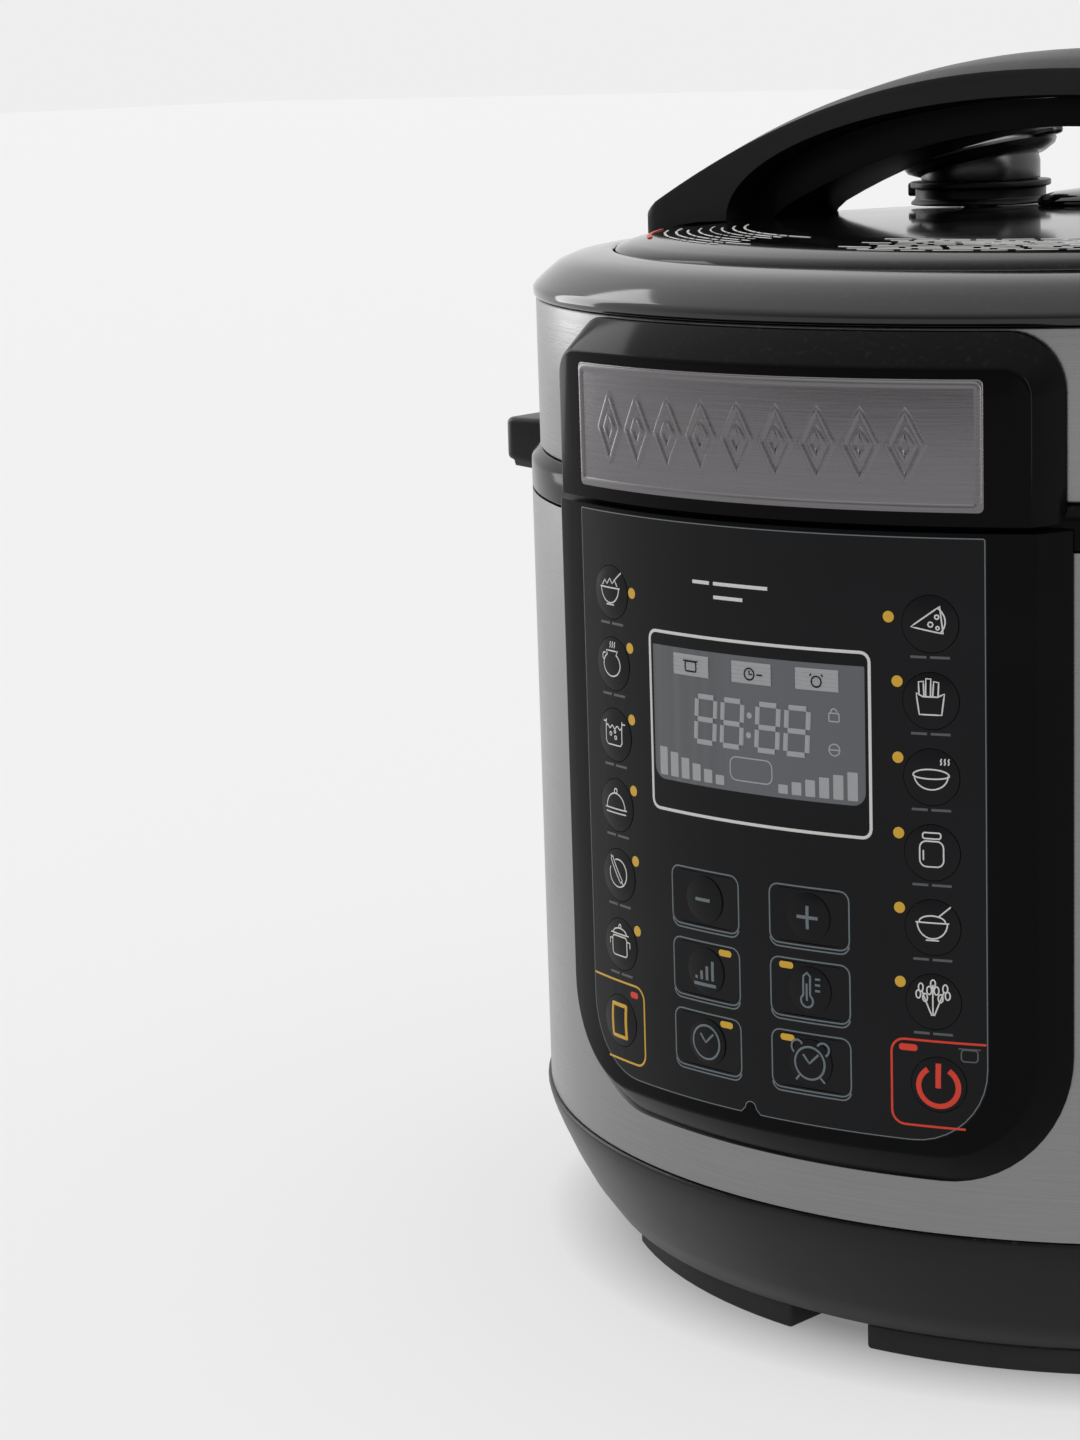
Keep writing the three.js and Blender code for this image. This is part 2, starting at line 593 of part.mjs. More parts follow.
function powerBoard() {
  const floor = BOWL_BOTTOM + BOWL_WALL + GAP;
  const top = floor + 4 + BOARD_THICKNESS;
  let board = box(-55, 55, 40, 100, floor + 4, top);
  for (const [x, y] of [[-48, 46], [48, 46], [-48, 94], [48, 94]]) {
    board = board.add(upright(x, y, 3, floor, floor + 4.5, 10));
  }
  board = board.add(box(-44, -20, 58, 82, top - 0.5, top + 14));
  board = board.add(box(-8, 8, 60, 76, top - 0.5, top + 12));
  board = board.add(upright(26, 66, 6, top - 0.5, top + 12, 14));
  return board.add(upright(42, 66, 6, top - 0.5, top + 12, 14));
}

// ---- Control panel pieces -----------------------------------------------------------------
const keys = [];
const rowStep = (ROUND_KEY_HIGH - ROUND_KEY_LOW) / (ROUND_KEY_ROWS - 1);
for (let row = 0; row < ROUND_KEY_ROWS; row += 1) {
  const z = onFilm(ROUND_KEY_HIGH - rowStep * row);
  keys.push({ name: `programme_button_left_${row + 1}`, angle: -ROUND_KEY_ANGLE, z, round: true });
  keys.push({ name: `programme_button_right_${row + 1}`, angle: ROUND_KEY_ANGLE, z, round: true });
}
keys.push({ name: 'cancel_button', angle: -COMMAND_KEY_ANGLE, z: onFilm(COMMAND_KEY_LOW), round: true });
keys.push({ name: 'power_button', angle: COMMAND_KEY_ANGLE, z: onFilm(COMMAND_KEY_LOW), round: true });
const centreNames = [
  'minus_button', 'plus_button', 'pressure_button', 'temperature_button', 'clock_button', 'timer_button',
];
centreNames.forEach((name, i) => {
  const angle = i % 2 ? CENTRE_KEY_ANGLE : -CENTRE_KEY_ANGLE;
  keys.push({ name, angle, z: onFilm(CENTRE_KEY_ROWS[Math.floor(i / 2)]), round: false });
});

// A key's solid at the front of the panel, or with grow above zero the hole it works in.
function keyBody(key, grow, innerR, outerR) {
  if (key.round) {
    const r = ROUND_KEY_R + grow;
    const geometry = new THREE.CylinderGeometry(r, r, outerR - innerR, KEY_SIDES);
    return solid(geometry.translate(0, -(innerR + outerR) / 2, key.z));
  }
  const half = CENTRE_KEY_WIDTH / 2 + grow;
  const low = key.z - CENTRE_KEY_HEIGHT / 2 - grow;
  const high = key.z + CENTRE_KEY_HEIGHT / 2 + grow;
  const corner = CENTRE_KEY_CORNER + grow;
  return carried(panelOutline(half, low, high, corner, corner), -outerR, -innerR, 1);
}

function keyHoles(body) {
  let cut = body;
  for (const key of keys) {
    cut = cut.subtract(turnedBy(keyBody(key, KEY_CLEARANCE, SHELL_R - 12, BEZEL_FACE_R + 4), key.angle));
  }
  return cut;
}

function filmRegion(grow, innerR, outerR) {
  const half = FILM_ANGLE + grow * 0.4;
  const width = BEZEL_FACE_R * Math.sin(radians(half));
  const ring = sector(innerR, outerR, half, half, FILM_BOTTOM - grow, FILM_TOP + grow);
  const outline = panelOutline(width, FILM_BOTTOM - grow, FILM_TOP + grow, FILM_CORNER + grow, 0);
  return ring.intersect(carried(outline, -BEZEL_FACE_R - CUT_REACH, -SHELL_R / 2));
}

function panelBezel() {
  const block = sector(
    FITTING_R, BEZEL_FACE_R, BEZEL_FOOT_ANGLE, BEZEL_FACE_ANGLE, BEZEL_BOTTOM, BEZEL_TOP,
  );
  const width = FITTING_R * Math.sin(radians(BEZEL_FOOT_ANGLE)) + 0.5;
  const outline = panelOutline(width, BEZEL_BOTTOM, BEZEL_TOP, BEZEL_CORNER, 0);
  const recess = filmRegion(GAP, BEZEL_FACE_R - FILM_THICKNESS - GAP, BEZEL_FACE_R + 3);
  const half = LCD_HALF_WIDTH + GAP;
  const pocket = box(-half, half, -BEZEL_FACE_R - CUT_REACH, -SHELL_R / 2, LCD_BOTTOM - GAP, LCD_TOP + GAP);
  const body = block.intersect(carried(outline, -BEZEL_FACE_R - CUT_REACH, -SHELL_R / 2));
  return keyHoles(body.subtract(recess).subtract(pocket));
}

function displayRegion(grow, innerR) {
  const half = WINDOW_ANGLE + grow * 0.4;
  const outerR = BEZEL_FACE_R + grow * 3;
  return sector(innerR, outerR, half, half, WINDOW_BOTTOM - grow, WINDOW_TOP + grow, WINDOW_STEPS);
}

function panelFilm() {
  const inner = BEZEL_FACE_R - FILM_THICKNESS;
  return keyHoles(filmRegion(0, inner, BEZEL_FACE_R).subtract(displayRegion(GAP, inner - 2)));
}

function lcdModule() {
  const inner = BEZEL_FACE_R - FILM_THICKNESS;
  const front = Math.sqrt(inner ** 2 - LCD_HALF_WIDTH ** 2) - 2 * GAP;
  return box(-LCD_HALF_WIDTH, LCD_HALF_WIDTH, -front, LCD_THICKNESS - front, LCD_BOTTOM, LCD_TOP);
}

// Flat board with one switch post behind each key.
function controlBoard() {
  const rest = SHELL_R + KEY_ROOT - KEY_TRAVEL - GAP;
  let board = box(
    -BOARD_HALF_WIDTH, BOARD_HALF_WIDTH, -BOARD_DEPTH, BOARD_THICKNESS - BOARD_DEPTH,
    SHELL_WINDOW_BOTTOM + 1, SHELL_WINDOW_TOP - 1,
  );
  for (const key of keys) {
    const root = BOARD_DEPTH - 3 * POST_R;
    const post = new THREE.CylinderGeometry(POST_R, POST_R, rest - root, 6);
    const placed = turnedBy(solid(post.translate(0, -(rest + root) / 2, key.z)), key.angle);
    const behind = box(-SHELL_R, SHELL_R, BOARD_THICKNESS / 2 - BOARD_DEPTH, 0, 0, COVER_LIP);
    board = board.add(placed.subtract(behind));
  }
  return board;
}

// ---- Rear fittings ------------------------------------------------------------------------
function powerInlet() {
  const half = INLET_HALF_WIDTH;
  const top = INLET_BOTTOM + INLET_HEIGHT;
  const root = INLET_FACE - SOCKET_DEPTH;
  const body = box(-half, half, INLET_BACK, INLET_FACE, INLET_BOTTOM, top);
  const socket = box(
    -half + INLET_WALL, half - INLET_WALL, root, INLET_FACE + 1, INLET_BOTTOM + INLET_WALL, top - INLET_WALL,
  );
  let inlet = body.subtract(socket);
  for (const x of [-PIN_SPACING, 0, PIN_SPACING]) {
    const z = (INLET_BOTTOM + top) / 2 + (x ? -1.5 : 2.5);
    inlet = inlet.add(box(
      x - PIN_HALF_WIDTH, x + PIN_HALF_WIDTH, root - 1, INLET_FACE - PIN_SETBACK,
      z - PIN_HALF_HEIGHT, z + PIN_HALF_HEIGHT,
    ));
  }
  return inlet;
}

function condensateBracket() {
  const half = CUP_HALF_WIDTH + GAP;
  const low = CUP_BOTTOM - GAP;
  const high = CUP_BOTTOM + CUP_HEIGHT + GAP;
  const back = CUP_BACK - GAP;
  const w = BRACKET_WALL;
  const lipR = FITTING_R + BRACKET_LIP_THICKNESS;
  const sleeve = box(-half - w, half + w, back - w, lipR - 0.4, low - w, high + w);
  const angle = THREE.MathUtils.radToDeg(Math.asin((half + w + BRACKET_LIP) / SHELL_R));
  const flange = sector(FITTING_R, lipR, angle, angle, low - w - BRACKET_LIP, high + w + BRACKET_LIP);
  const room = box(-half, half, back, SHELL_R + 4 * CUT_REACH, low, high);
  const within = turned([[0, 0], [lipR, 0], [lipR, COVER_LIP], [0, COVER_LIP]]);
  return sleeve.intersect(within).add(turnedBy(flange, 180)).subtract(room);
}

function condensateCup() {
  const half = CUP_HALF_WIDTH;
  const w = CUP_WALL;
  const top = CUP_BOTTOM + CUP_HEIGHT;
  const body = box(-half, half, CUP_BACK, CUP_FACE, CUP_BOTTOM, top);
  return body.subtract(box(-half + w, half - w, CUP_BACK + w, CUP_FACE - w, CUP_BOTTOM + w, top + 1));
}

// ---- Lid pieces ---------------------------------------------------------------------------
function sealingGasket() {
  const outer = POT_OUTER_R + POT_RIM_WIDTH - 0.1;
  const inner = outer - GASKET_WIDTH;
  const top = GASKET_BOTTOM + GASKET_HEIGHT;
  return turned([
    [inner, GASKET_BOTTOM],
    [outer - 1, GASKET_BOTTOM],
    [outer, GASKET_BOTTOM + 2.4],
    [outer - 1, top],
    [inner, top],
    [inner - 1, GASKET_BOTTOM + 3],
  ]);
}

function valveHoles(body) {
  return body
    .subtract(upright(VALVE_X, VALVE_Y, PIPE_R + GAP, GASKET_BOTTOM - CUT_REACH, PLATE_CROWN + CUT_REACH, 12))
    .subtract(upright(FLOAT_X, FLOAT_Y, FLOAT_R + GAP, GASKET_BOTTOM - CUT_REACH, PLATE_CROWN + CUT_REACH, 8));
}

function innerLid() {
  const disc = LID_FLANGE_R - LID_DISC_INSET;
  const slope = LID_FLANGE_R - LID_SLOPE_INSET;
  let lid = turned([
    [0, LID_DISC_BOTTOM],
    [disc, LID_DISC_BOTTOM],
    [slope, LID_FLANGE_BOTTOM],
    [LID_FLANGE_R, LID_FLANGE_BOTTOM],
    [LID_FLANGE_R, LID_FLANGE_TOP],
    [slope + 1.5, LID_FLANGE_TOP],
    [disc + 2, LID_DISC_TOP],
    [0, LID_DISC_TOP],
  ]);
  const half = LUG_SPAN / 2;
  const lug = sector(LID_FLANGE_R - 1.5, LID_LUG_R, half, half, LID_FLANGE_BOTTOM, LID_FLANGE_TOP, 4);
  for (let i = 0; i < LUG_COUNT; i += 1) {
    lid = lid.add(turnedBy(lug, i * 360 / LUG_COUNT));
  }
  return valveHoles(lid);
}

function lidCore() {
  return turned([
    [CORE_R - CORE_WALL, LID_DISC_TOP + GAP],
    [CORE_R, LID_DISC_TOP + GAP],
    [CORE_R, COVER_UNDERSIDE - GAP],
    [CORE_R - CORE_WALL, COVER_UNDERSIDE - GAP],
  ], 24);
}

function lidSteelBand() {
  return turned([
    [BAND_R, BAND_BOTTOM],
    [BAND_R, BAND_TOP],
    [BAND_R - BAND_WALL, BAND_TOP],
    [BAND_R - BAND_WALL, BAND_BOTTOM],
  ]);
}

function lidOuterCover() {
  const skirtR = BAND_R - BAND_WALL - GAP;
  return valveHoles(turned([
    [0, COVER_UNDERSIDE],
    [skirtR - 6, COVER_UNDERSIDE],
    [skirtR - 2.3, COVER_LIP],
    [skirtR - 2.3, BAND_TOP - COVER_SKIRT],
    [skirtR, BAND_TOP - COVER_SKIRT],
    [skirtR, COVER_LIP],
    [COVER_LIP_R - 0.3, COVER_LIP],
    [COVER_LIP_R, COVER_LIP + 2.5],
    [COVER_LIP_R - COVER_CHAMFER, COVER_LIP + COVER_RISE],
    [PLATE_R + GAP, PLATE_SEAT + PLATE_SINK],
    [PLATE_R + GAP, PLATE_SEAT],
    [0, PLATE_SEAT],
  ]));
}

// Top surface of the plate from its edge to its crown, lifted by a clearance.
function plateSkyline(lift) {
  const crown = PLATE_CROWN + lift;
  return [
    [PLATE_R + lift, PLATE_BOTTOM],
    [PLATE_R + lift, crown - 5],
    [PLATE_R - 1.4, crown - 3.6],
    [PLATE_R - 5, crown - 2.7],
    [PLATE_R - 10, crown - 2],
    [0.68 * PLATE_R, crown - 0.9],
    [0.34 * PLATE_R, crown - 0.2],
    [0, crown],
  ];
}

function lidDomePlate() {
  return valveHoles(turned([
    [0, PLATE_CROWN - PLATE_WALL],
    [PLATE_R - 10, PLATE_CROWN - 2 - PLATE_WALL],
    [PLATE_R - 8, PLATE_BOTTOM],
    ...plateSkyline(0),
  ]));
}

// What the handle and valve fittings stand on: the plate and the cover's slope, with clearance.
function plateEnvelope() {
  const rim = COVER_LIP_R - COVER_CHAMFER;
  return turned([
    [0, GASKET_BOTTOM],
    [rim, GASKET_BOTTOM],
    [rim, COVER_LIP + COVER_RISE + GAP],
    [PLATE_R + GAP, PLATE_SEAT + PLATE_SINK + GAP],
    ...plateSkyline(GAP).slice(1),
  ]);
}

function nameplateBezel() {
  const top = BADGE_BOTTOM + BADGE_HEIGHT;
  const proud = sector(FITTING_R + GAP, BEZEL_FACE_R, BADGE_FOOT_ANGLE, BADGE_FACE_ANGLE, BADGE_BOTTOM, top);
  const root = sector(
    BAND_R + GAP, FITTING_R + 1, BADGE_FOOT_ANGLE - 0.6, BADGE_FOOT_ANGLE - 0.6, RING_TOP + 1, BAND_TOP - 1,
  );
  const width = BEZEL_FACE_R * Math.sin(radians(BADGE_FOOT_ANGLE));
  const outline = panelOutline(width, BADGE_BOTTOM, top, 2, BADGE_CORNER);
  const recess = nameplateRegion(GAP, BEZEL_FACE_R - NAMEPLATE_THICKNESS - 2 * GAP, BEZEL_FACE_R + 3);
  const body = proud.add(root).intersect(carried(outline, -BEZEL_FACE_R - CUT_REACH, -SHELL_R / 2));
  return body.subtract(recess);
}

function nameplateRegion(grow, innerR, outerR) {
  const half = NAMEPLATE_ANGLE + grow * 0.4;
  const low = BADGE_BOTTOM + NAMEPLATE_BOTTOM - grow;
  const high = BADGE_BOTTOM + NAMEPLATE_BOTTOM + NAMEPLATE_HEIGHT + grow;
  return sector(innerR, outerR, half, half, low, high);
}

// ---- Lid handle ---------------------------------------------------------------------------
const FACE_EDGE = PLATE_CROWN + HANDLE_RISE;
const SEAM_BASE = PLATE_CROWN - 1.3;
const SEAM_TOP = FACE_EDGE - SEAM_BELOW_EDGE;
const ARCH_TOP = SEAM_TOP - ARCH_BELOW_SEAM;
const HANDLE_TOOL = HANDLE_HALF_DEPTH + 6 * CUT_REACH;

function handleEdgeHeight(x) {
  return FACE_EDGE - HANDLE_END_DROP * (Math.abs(x) / HANDLE_HALF_LENGTH) ** 2.25;
}

function handleHalfDepth(x) {
  return HANDLE_HALF_DEPTH + HANDLE_FLARE * (Math.abs(x) / HANDLE_HALF_LENGTH) ** 3;
}

// Half an ellipse over the seam's base line, drawn in from the seam by an inset.
function seamShape(inset) {
  const shape = new THREE.Shape();
  shape.moveTo(SEAM_HALF_LENGTH - inset, PLATE_SEAT);
  shape.lineTo(SEAM_HALF_LENGTH - inset, SEAM_BASE);
  shape.absellipse(0, SEAM_BASE, SEAM_HALF_LENGTH - inset, SEAM_TOP - SEAM_BASE - inset, 0, Math.PI, false);
  shape.lineTo(-SEAM_HALF_LENGTH + inset, PLATE_SEAT);
  shape.closePath();
  return shape;
}

// The finger arch: a shallow arc that turns down into two upright sides.
function archShape() {
  const half = Math.asin(ARCH_SHOULDER / ARCH_RADIUS);
  const shoulderZ = ARCH_TOP - ARCH_RISE;
  const shape = new THREE.Shape();
  shape.moveTo(ARCH_HALF_LENGTH, PLATE_SEAT);
  shape.lineTo(ARCH_HALF_LENGTH, shoulderZ - ARCH_CORNER);
  shape.lineTo(ARCH_SHOULDER, shoulderZ);
  shape.absarc(0, ARCH_TOP - ARCH_RADIUS, ARCH_RADIUS, Math.PI / 2 - half, Math.PI / 2 + half);
  shape.lineTo(-ARCH_HALF_LENGTH, shoulderZ - ARCH_CORNER);
  shape.lineTo(-ARCH_HALF_LENGTH, PLATE_SEAT);
  shape.closePath();
  return shape;
}

// A box bent to the handle's plan, its crowned top following the face's edge.
function handleCover() {
  const geometry = new THREE.BoxGeometry(2, 2, 1, 18, 4, 1);
  const position = geometry.getAttribute('position');
  for (let i = 0; i < position.count; i += 1) {
    const x = position.getX(i) * HANDLE_HALF_LENGTH;
    const across = position.getY(i);
    const topZ = handleEdgeHeight(x) + HANDLE_CROWN * (1 - across ** 2) * (1 - (x / HANDLE_HALF_LENGTH) ** 2);
    position.setXYZ(i, x, across * handleHalfDepth(x), position.getZ(i) > 0 ? topZ : PLATE_SEAT);
  }
  const under = carried(seamShape(0), -HANDLE_TOOL, HANDLE_TOOL, 12);
  return solid(geometry).subtract(under).subtract(plateEnvelope());
}

function handleBase() {
  const depth = HANDLE_HALF_DEPTH - GRIP_INSET;
  const body = carried(seamShape(GAP), -depth, depth, 12);
  return body.subtract(carried(archShape(), -HANDLE_TOOL, HANDLE_TOOL, 8)).subtract(plateEnvelope());
}

// ---- Valves -------------------------------------------------------------------------------
function placedTurned(x, y, outline, sides) {
  return turned(outline, sides).translate([x, y, 0]);
}

function exhaustPipe() {
  return placedTurned(VALVE_X, VALVE_Y, [
    [PIPE_BORE_R, LID_DISC_BOTTOM - 6],
    [PIPE_R, LID_DISC_BOTTOM - 6],
    [PIPE_R, COLLAR_TOP + 4],
    [PIPE_BORE_R, COLLAR_TOP + 4],
  ], 12);
}

function antiBlockShield() {
  const top = LID_DISC_BOTTOM - GAP;
  const bottom = top - 9.2;
  const shield = placedTurned(VALVE_X, VALVE_Y, [
    [0, bottom],
    [SHIELD_R, bottom],
    [SHIELD_R, top],
    [SHIELD_R - SHIELD_WALL, top],
    [SHIELD_R - SHIELD_WALL, bottom + SHIELD_WALL],
    [0, bottom + SHIELD_WALL],
  ], 16);
  const slotX = box(VALVE_X - 20, VALVE_X + 20, VALVE_Y - 2, VALVE_Y + 2, bottom + 3, top - 2);
  const slotY = box(VALVE_X - 2, VALVE_X + 2, VALVE_Y - 20, VALVE_Y + 20, bottom + 3, top - 2);
  return shield.subtract(slotX).subtract(slotY);
}

function steamValveCollar() {
  const collar = placedTurned(VALVE_X, VALVE_Y, [
    [PIPE_R + GAP, PLATE_SEAT],
    [COLLAR_R + 1.2, PLATE_SEAT],
    [COLLAR_R + 1.2, PLATE_CROWN],
    [COLLAR_R, PLATE_CROWN + 1],
    [COLLAR_R, COLLAR_TOP - 1.6],
    [COLLAR_R + 1.3, COLLAR_TOP - 1.6],
    [COLLAR_R + 1.3, COLLAR_TOP],
    [PIPE_R + GAP, COLLAR_TOP],
  ], 20);
  const stop = box(-COLLAR_R - 3.4, -COLLAR_R + 1, -3, 3, PLATE_CROWN + 1.6, COLLAR_TOP - 1);
  return collar.add(stop.translate([VALVE_X, VALVE_Y, 0])).subtract(plateEnvelope());
}

// Slanted cap with a pointed lever, pointing along +X at rest.
function steamValveCap() {
  const bottom = COLLAR_TOP + GAP;
  const middle = bottom + 6.6;
  const body = upright(0, 0, CAP_BODY_R, bottom, middle, 20);
  const disc = turned([
    [0, -CAP_THICKNESS],
    [CAP_R - 1.6, -CAP_THICKNESS / 2],
    [CAP_R, 0],
    [CAP_R - 4, CAP_THICKNESS / 3],
    [0, CAP_THICKNESS * 0.7],
  ], 20);
  const tip = new THREE.Shape();
  tip.moveTo(2, -5);
  tip.lineTo(LEVER_REACH - 4, -4);
  tip.lineTo(LEVER_REACH, 0);
  tip.lineTo(LEVER_REACH - 4, 4);
  tip.lineTo(2, 5);
  tip.closePath();
  const lever = raised(tip, CAP_THICKNESS * 0.2, CAP_THICKNESS);
  const slanted = disc.add(lever).rotate([0, -CAP_TILT, 0]).translate([0, 0, middle]);
  const bore = upright(0, 0, PIPE_R + GAP, bottom - 1, COLLAR_TOP + 4 + GAP, 12);
  return body.add(slanted).subtract(bore).translate([VALVE_X, VALVE_Y, 0]);
}

function floatValveHood() {
  const top = PLATE_CROWN + HOOD_RISE;
  const hood = placedTurned(FLOAT_X, FLOAT_Y, [
    [FLOAT_R + 2 * GAP, PLATE_SEAT],
    [HOOD_R, PLATE_SEAT],
    [HOOD_R, top - 2.6],
    [HOOD_R - 4, top - 0.7],
    [HOOD_R - 10, top],
    [FLOAT_R + 2 * GAP, top],
  ], 20);
  return hood.subtract(plateEnvelope());
}

function floatValvePin() {
  const top = LID_DISC_BOTTOM - FLOAT_TRAVEL - 2 * GAP;
  return placedTurned(FLOAT_X, FLOAT_Y, [
    [0, top - 2],
    [5, top - 2],
    [5, top],
    [FLOAT_R, top],
    [FLOAT_R, PLATE_CROWN + HOOD_RISE - 1],
    [0, PLATE_CROWN + HOOD_RISE - 1],
  ], 8);
}

// ---- Assembly -----------------------------------------------------------------------------
const body = new THREE.Group();
body.add(piece('base_housing', 'satin', baseHousing()));
body.add(piece('foot_front_left', 'rubber', foot(-FOOT_ANGLE)));
body.add(piece('foot_front_right', 'rubber', foot(FOOT_ANGLE)));
body.add(piece('foot_back_left', 'rubber', foot(180 + FOOT_ANGLE)));
body.add(piece('foot_back_right', 'rubber', foot(180 - FOOT_ANGLE)));
body.add(piece('outer_shell', 'steel', outerShell()));
body.add(piece('body_top_ring', 'gloss', bodyTopRing()));
body.add(piece('side_handle_right', 'satin', sideHandle()));
body.add(piece('side_handle_left', 'satin', turnedBy(sideHandle(), 180)));
body.add(piece('outer_pot', 'aluminium', outerPot()));
body.add(piece('heating_plate', 'aluminium', heatingPlate()));
body.add(piece('temperature_sensor', 'steel', temperatureSensor()));
body.add(piece('pressure_switch', 'satin', pressureSwitch()));
body.add(piece('power_board', 'board', powerBoard()));
body.add(piece('power_inlet', 'satin', powerInlet()));
body.add(piece('condensate_bracket', 'satin', condensateBracket()));
body.add(piece('condensate_cup', 'clear', condensateCup()));
body.add(piece('inner_pot', 'coating', innerPot()));

const panel = new THREE.Group();
panel.add(piece('panel_bezel', 'gloss', panelBezel()));
panel.add(piece('panel_film', 'film', panelFilm()));
panel.add(piece('display_lens', 'film', displayRegion(0, BEZEL_FACE_R - FILM_THICKNESS)));
panel.add(piece('lcd_module', 'display', lcdModule()));
panel.add(piece('control_board', 'board', controlBoard()));
for (const key of keys) {
  const button = piece(key.name, 'satin', keyBody(key, 0, SHELL_R + KEY_ROOT, BEZEL_FACE_R + KEY_PROUD));
  button.rotation.z = radians(key.angle);
  panel.add(button);
}

const lid = new THREE.Group();
lid.add(piece('sealing_gasket', 'seal', sealingGasket()));
lid.add(piece('inner_lid', 'aluminium', innerLid()));
lid.add(piece('lid_core', 'satin', lidCore()));
lid.add(piece('lid_steel_band', 'steel', lidSteelBand()));
lid.add(piece('lid_outer_cover', 'gloss', lidOuterCover()));
lid.add(piece('lid_dome_plate', 'gloss', lidDomePlate()));
lid.add(piece('nameplate_bezel', 'gloss', nameplateBezel()));
const nameplateInnerR = BEZEL_FACE_R - NAMEPLATE_THICKNESS - GAP;
lid.add(piece('nameplate', 'steel', nameplateRegion(0, nameplateInnerR, BEZEL_FACE_R - GAP)));
lid.add(piece('lid_handle_cover', 'satin', handleCover()));
lid.add(piece('lid_handle_base', 'satin', handleBase()));
lid.add(piece('exhaust_pipe', 'steel', exhaustPipe()));
lid.add(piece('anti_block_shield', 'steel', antiBlockShield()));
lid.add(piece('steam_valve_collar', 'satin', steamValveCollar()));
lid.add(piece('steam_valve_cap', 'satin', steamValveCap()));
lid.add(piece('float_valve_hood', 'satin', floatValveHood()));
lid.add(piece('float_valve_pin', 'steel', floatValvePin()));

const cooker = new THREE.Group();
cooker.add(body, panel, lid);

export default cooker;
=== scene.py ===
"""Electric pressure cooker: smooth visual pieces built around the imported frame."""
import math

import bpy
from mathutils import Matrix, Vector


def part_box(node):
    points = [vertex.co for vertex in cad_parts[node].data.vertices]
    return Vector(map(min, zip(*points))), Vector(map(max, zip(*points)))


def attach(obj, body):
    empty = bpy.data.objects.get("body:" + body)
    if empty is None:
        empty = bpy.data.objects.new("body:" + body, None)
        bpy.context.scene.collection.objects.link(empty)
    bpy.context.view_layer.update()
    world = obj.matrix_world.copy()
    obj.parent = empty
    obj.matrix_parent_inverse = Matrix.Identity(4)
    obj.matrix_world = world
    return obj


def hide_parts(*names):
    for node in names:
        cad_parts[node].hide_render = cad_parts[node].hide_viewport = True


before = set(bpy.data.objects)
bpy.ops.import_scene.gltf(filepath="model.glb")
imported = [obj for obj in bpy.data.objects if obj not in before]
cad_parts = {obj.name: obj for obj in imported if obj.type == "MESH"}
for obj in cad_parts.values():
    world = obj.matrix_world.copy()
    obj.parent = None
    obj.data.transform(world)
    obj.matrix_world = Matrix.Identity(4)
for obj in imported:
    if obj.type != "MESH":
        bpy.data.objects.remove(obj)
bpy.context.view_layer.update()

bl_info = {
    "name": "Pressure Cooker Maker",
    "version": (1, 0, 0),
    "blender": (4, 5, 0),
    "location": "View3D > Sidebar > Cooker",
    "description": "Builds a lift-off lid pressure cooker piece by piece",
    "category": "Add Mesh",
}

MM = 0.001                       # metres in a millimetre
TURN = 2 * math.pi
ROUND_STEPS = 128                # sides of a large round piece
SMALL_STEPS = 48                 # sides of a small round piece
STRIP_WIDTH = 4.0                # strips that a piece is cut into before it is bent
LUG_STRIP_WIDTH = 6


# ---- Sizes and colours a user would change ------------------------------------------------
def length(name, description, millimetres):
    return bpy.props.FloatProperty(name=name, description=description, default=millimetres * MM,
                                   unit="LENGTH")


def paint(name, description, *rgb):
    return bpy.props.FloatVectorProperty(
        name=name, description=description, default=rgb, subtype="COLOR", size=3, min=0, max=1)


def high(node, axis):
    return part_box(node)[1][axis] / MM


def low(node, axis):
    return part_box(node)[0][axis] / MM


class CookerSizes(bpy.types.PropertyGroup):
    shell_radius: length("Shell radius", "Outside radius of the steel shell", high("outer_shell", 0))
    shell_bottom: length("Shell bottom", "Height of the shell's lower edge", low("outer_shell", 2))
    shell_top: length("Shell top", "Height of the shell's upper edge", high("outer_shell", 2))
    band_radius: length("Lid band radius", "Outside radius of the lid's steel band",
                        high("lid_steel_band", 0))
    band_bottom: length("Lid band bottom", "Height of the band's lower edge", low("lid_steel_band", 2))
    band_top: length("Lid band top", "Height of the band's upper edge", high("lid_steel_band", 2))
    cover_radius: length("Lid cover radius", "Outside radius of the lid cover's lip",
                         high("lid_outer_cover", 0))
    plate_crown: length("Lid plate crown", "Height of the dome plate's middle", high("lid_dome_plate", 2))
    panel_radius: length("Panel radius", "Radius of the control panel's face", -low("panel_bezel", 1))
    edge_softness: length("Edge softness", "Rounding of moulded edges", 0.8)
    line_width: length("Printed line", "Width of the panel's printed lines", 0.42)


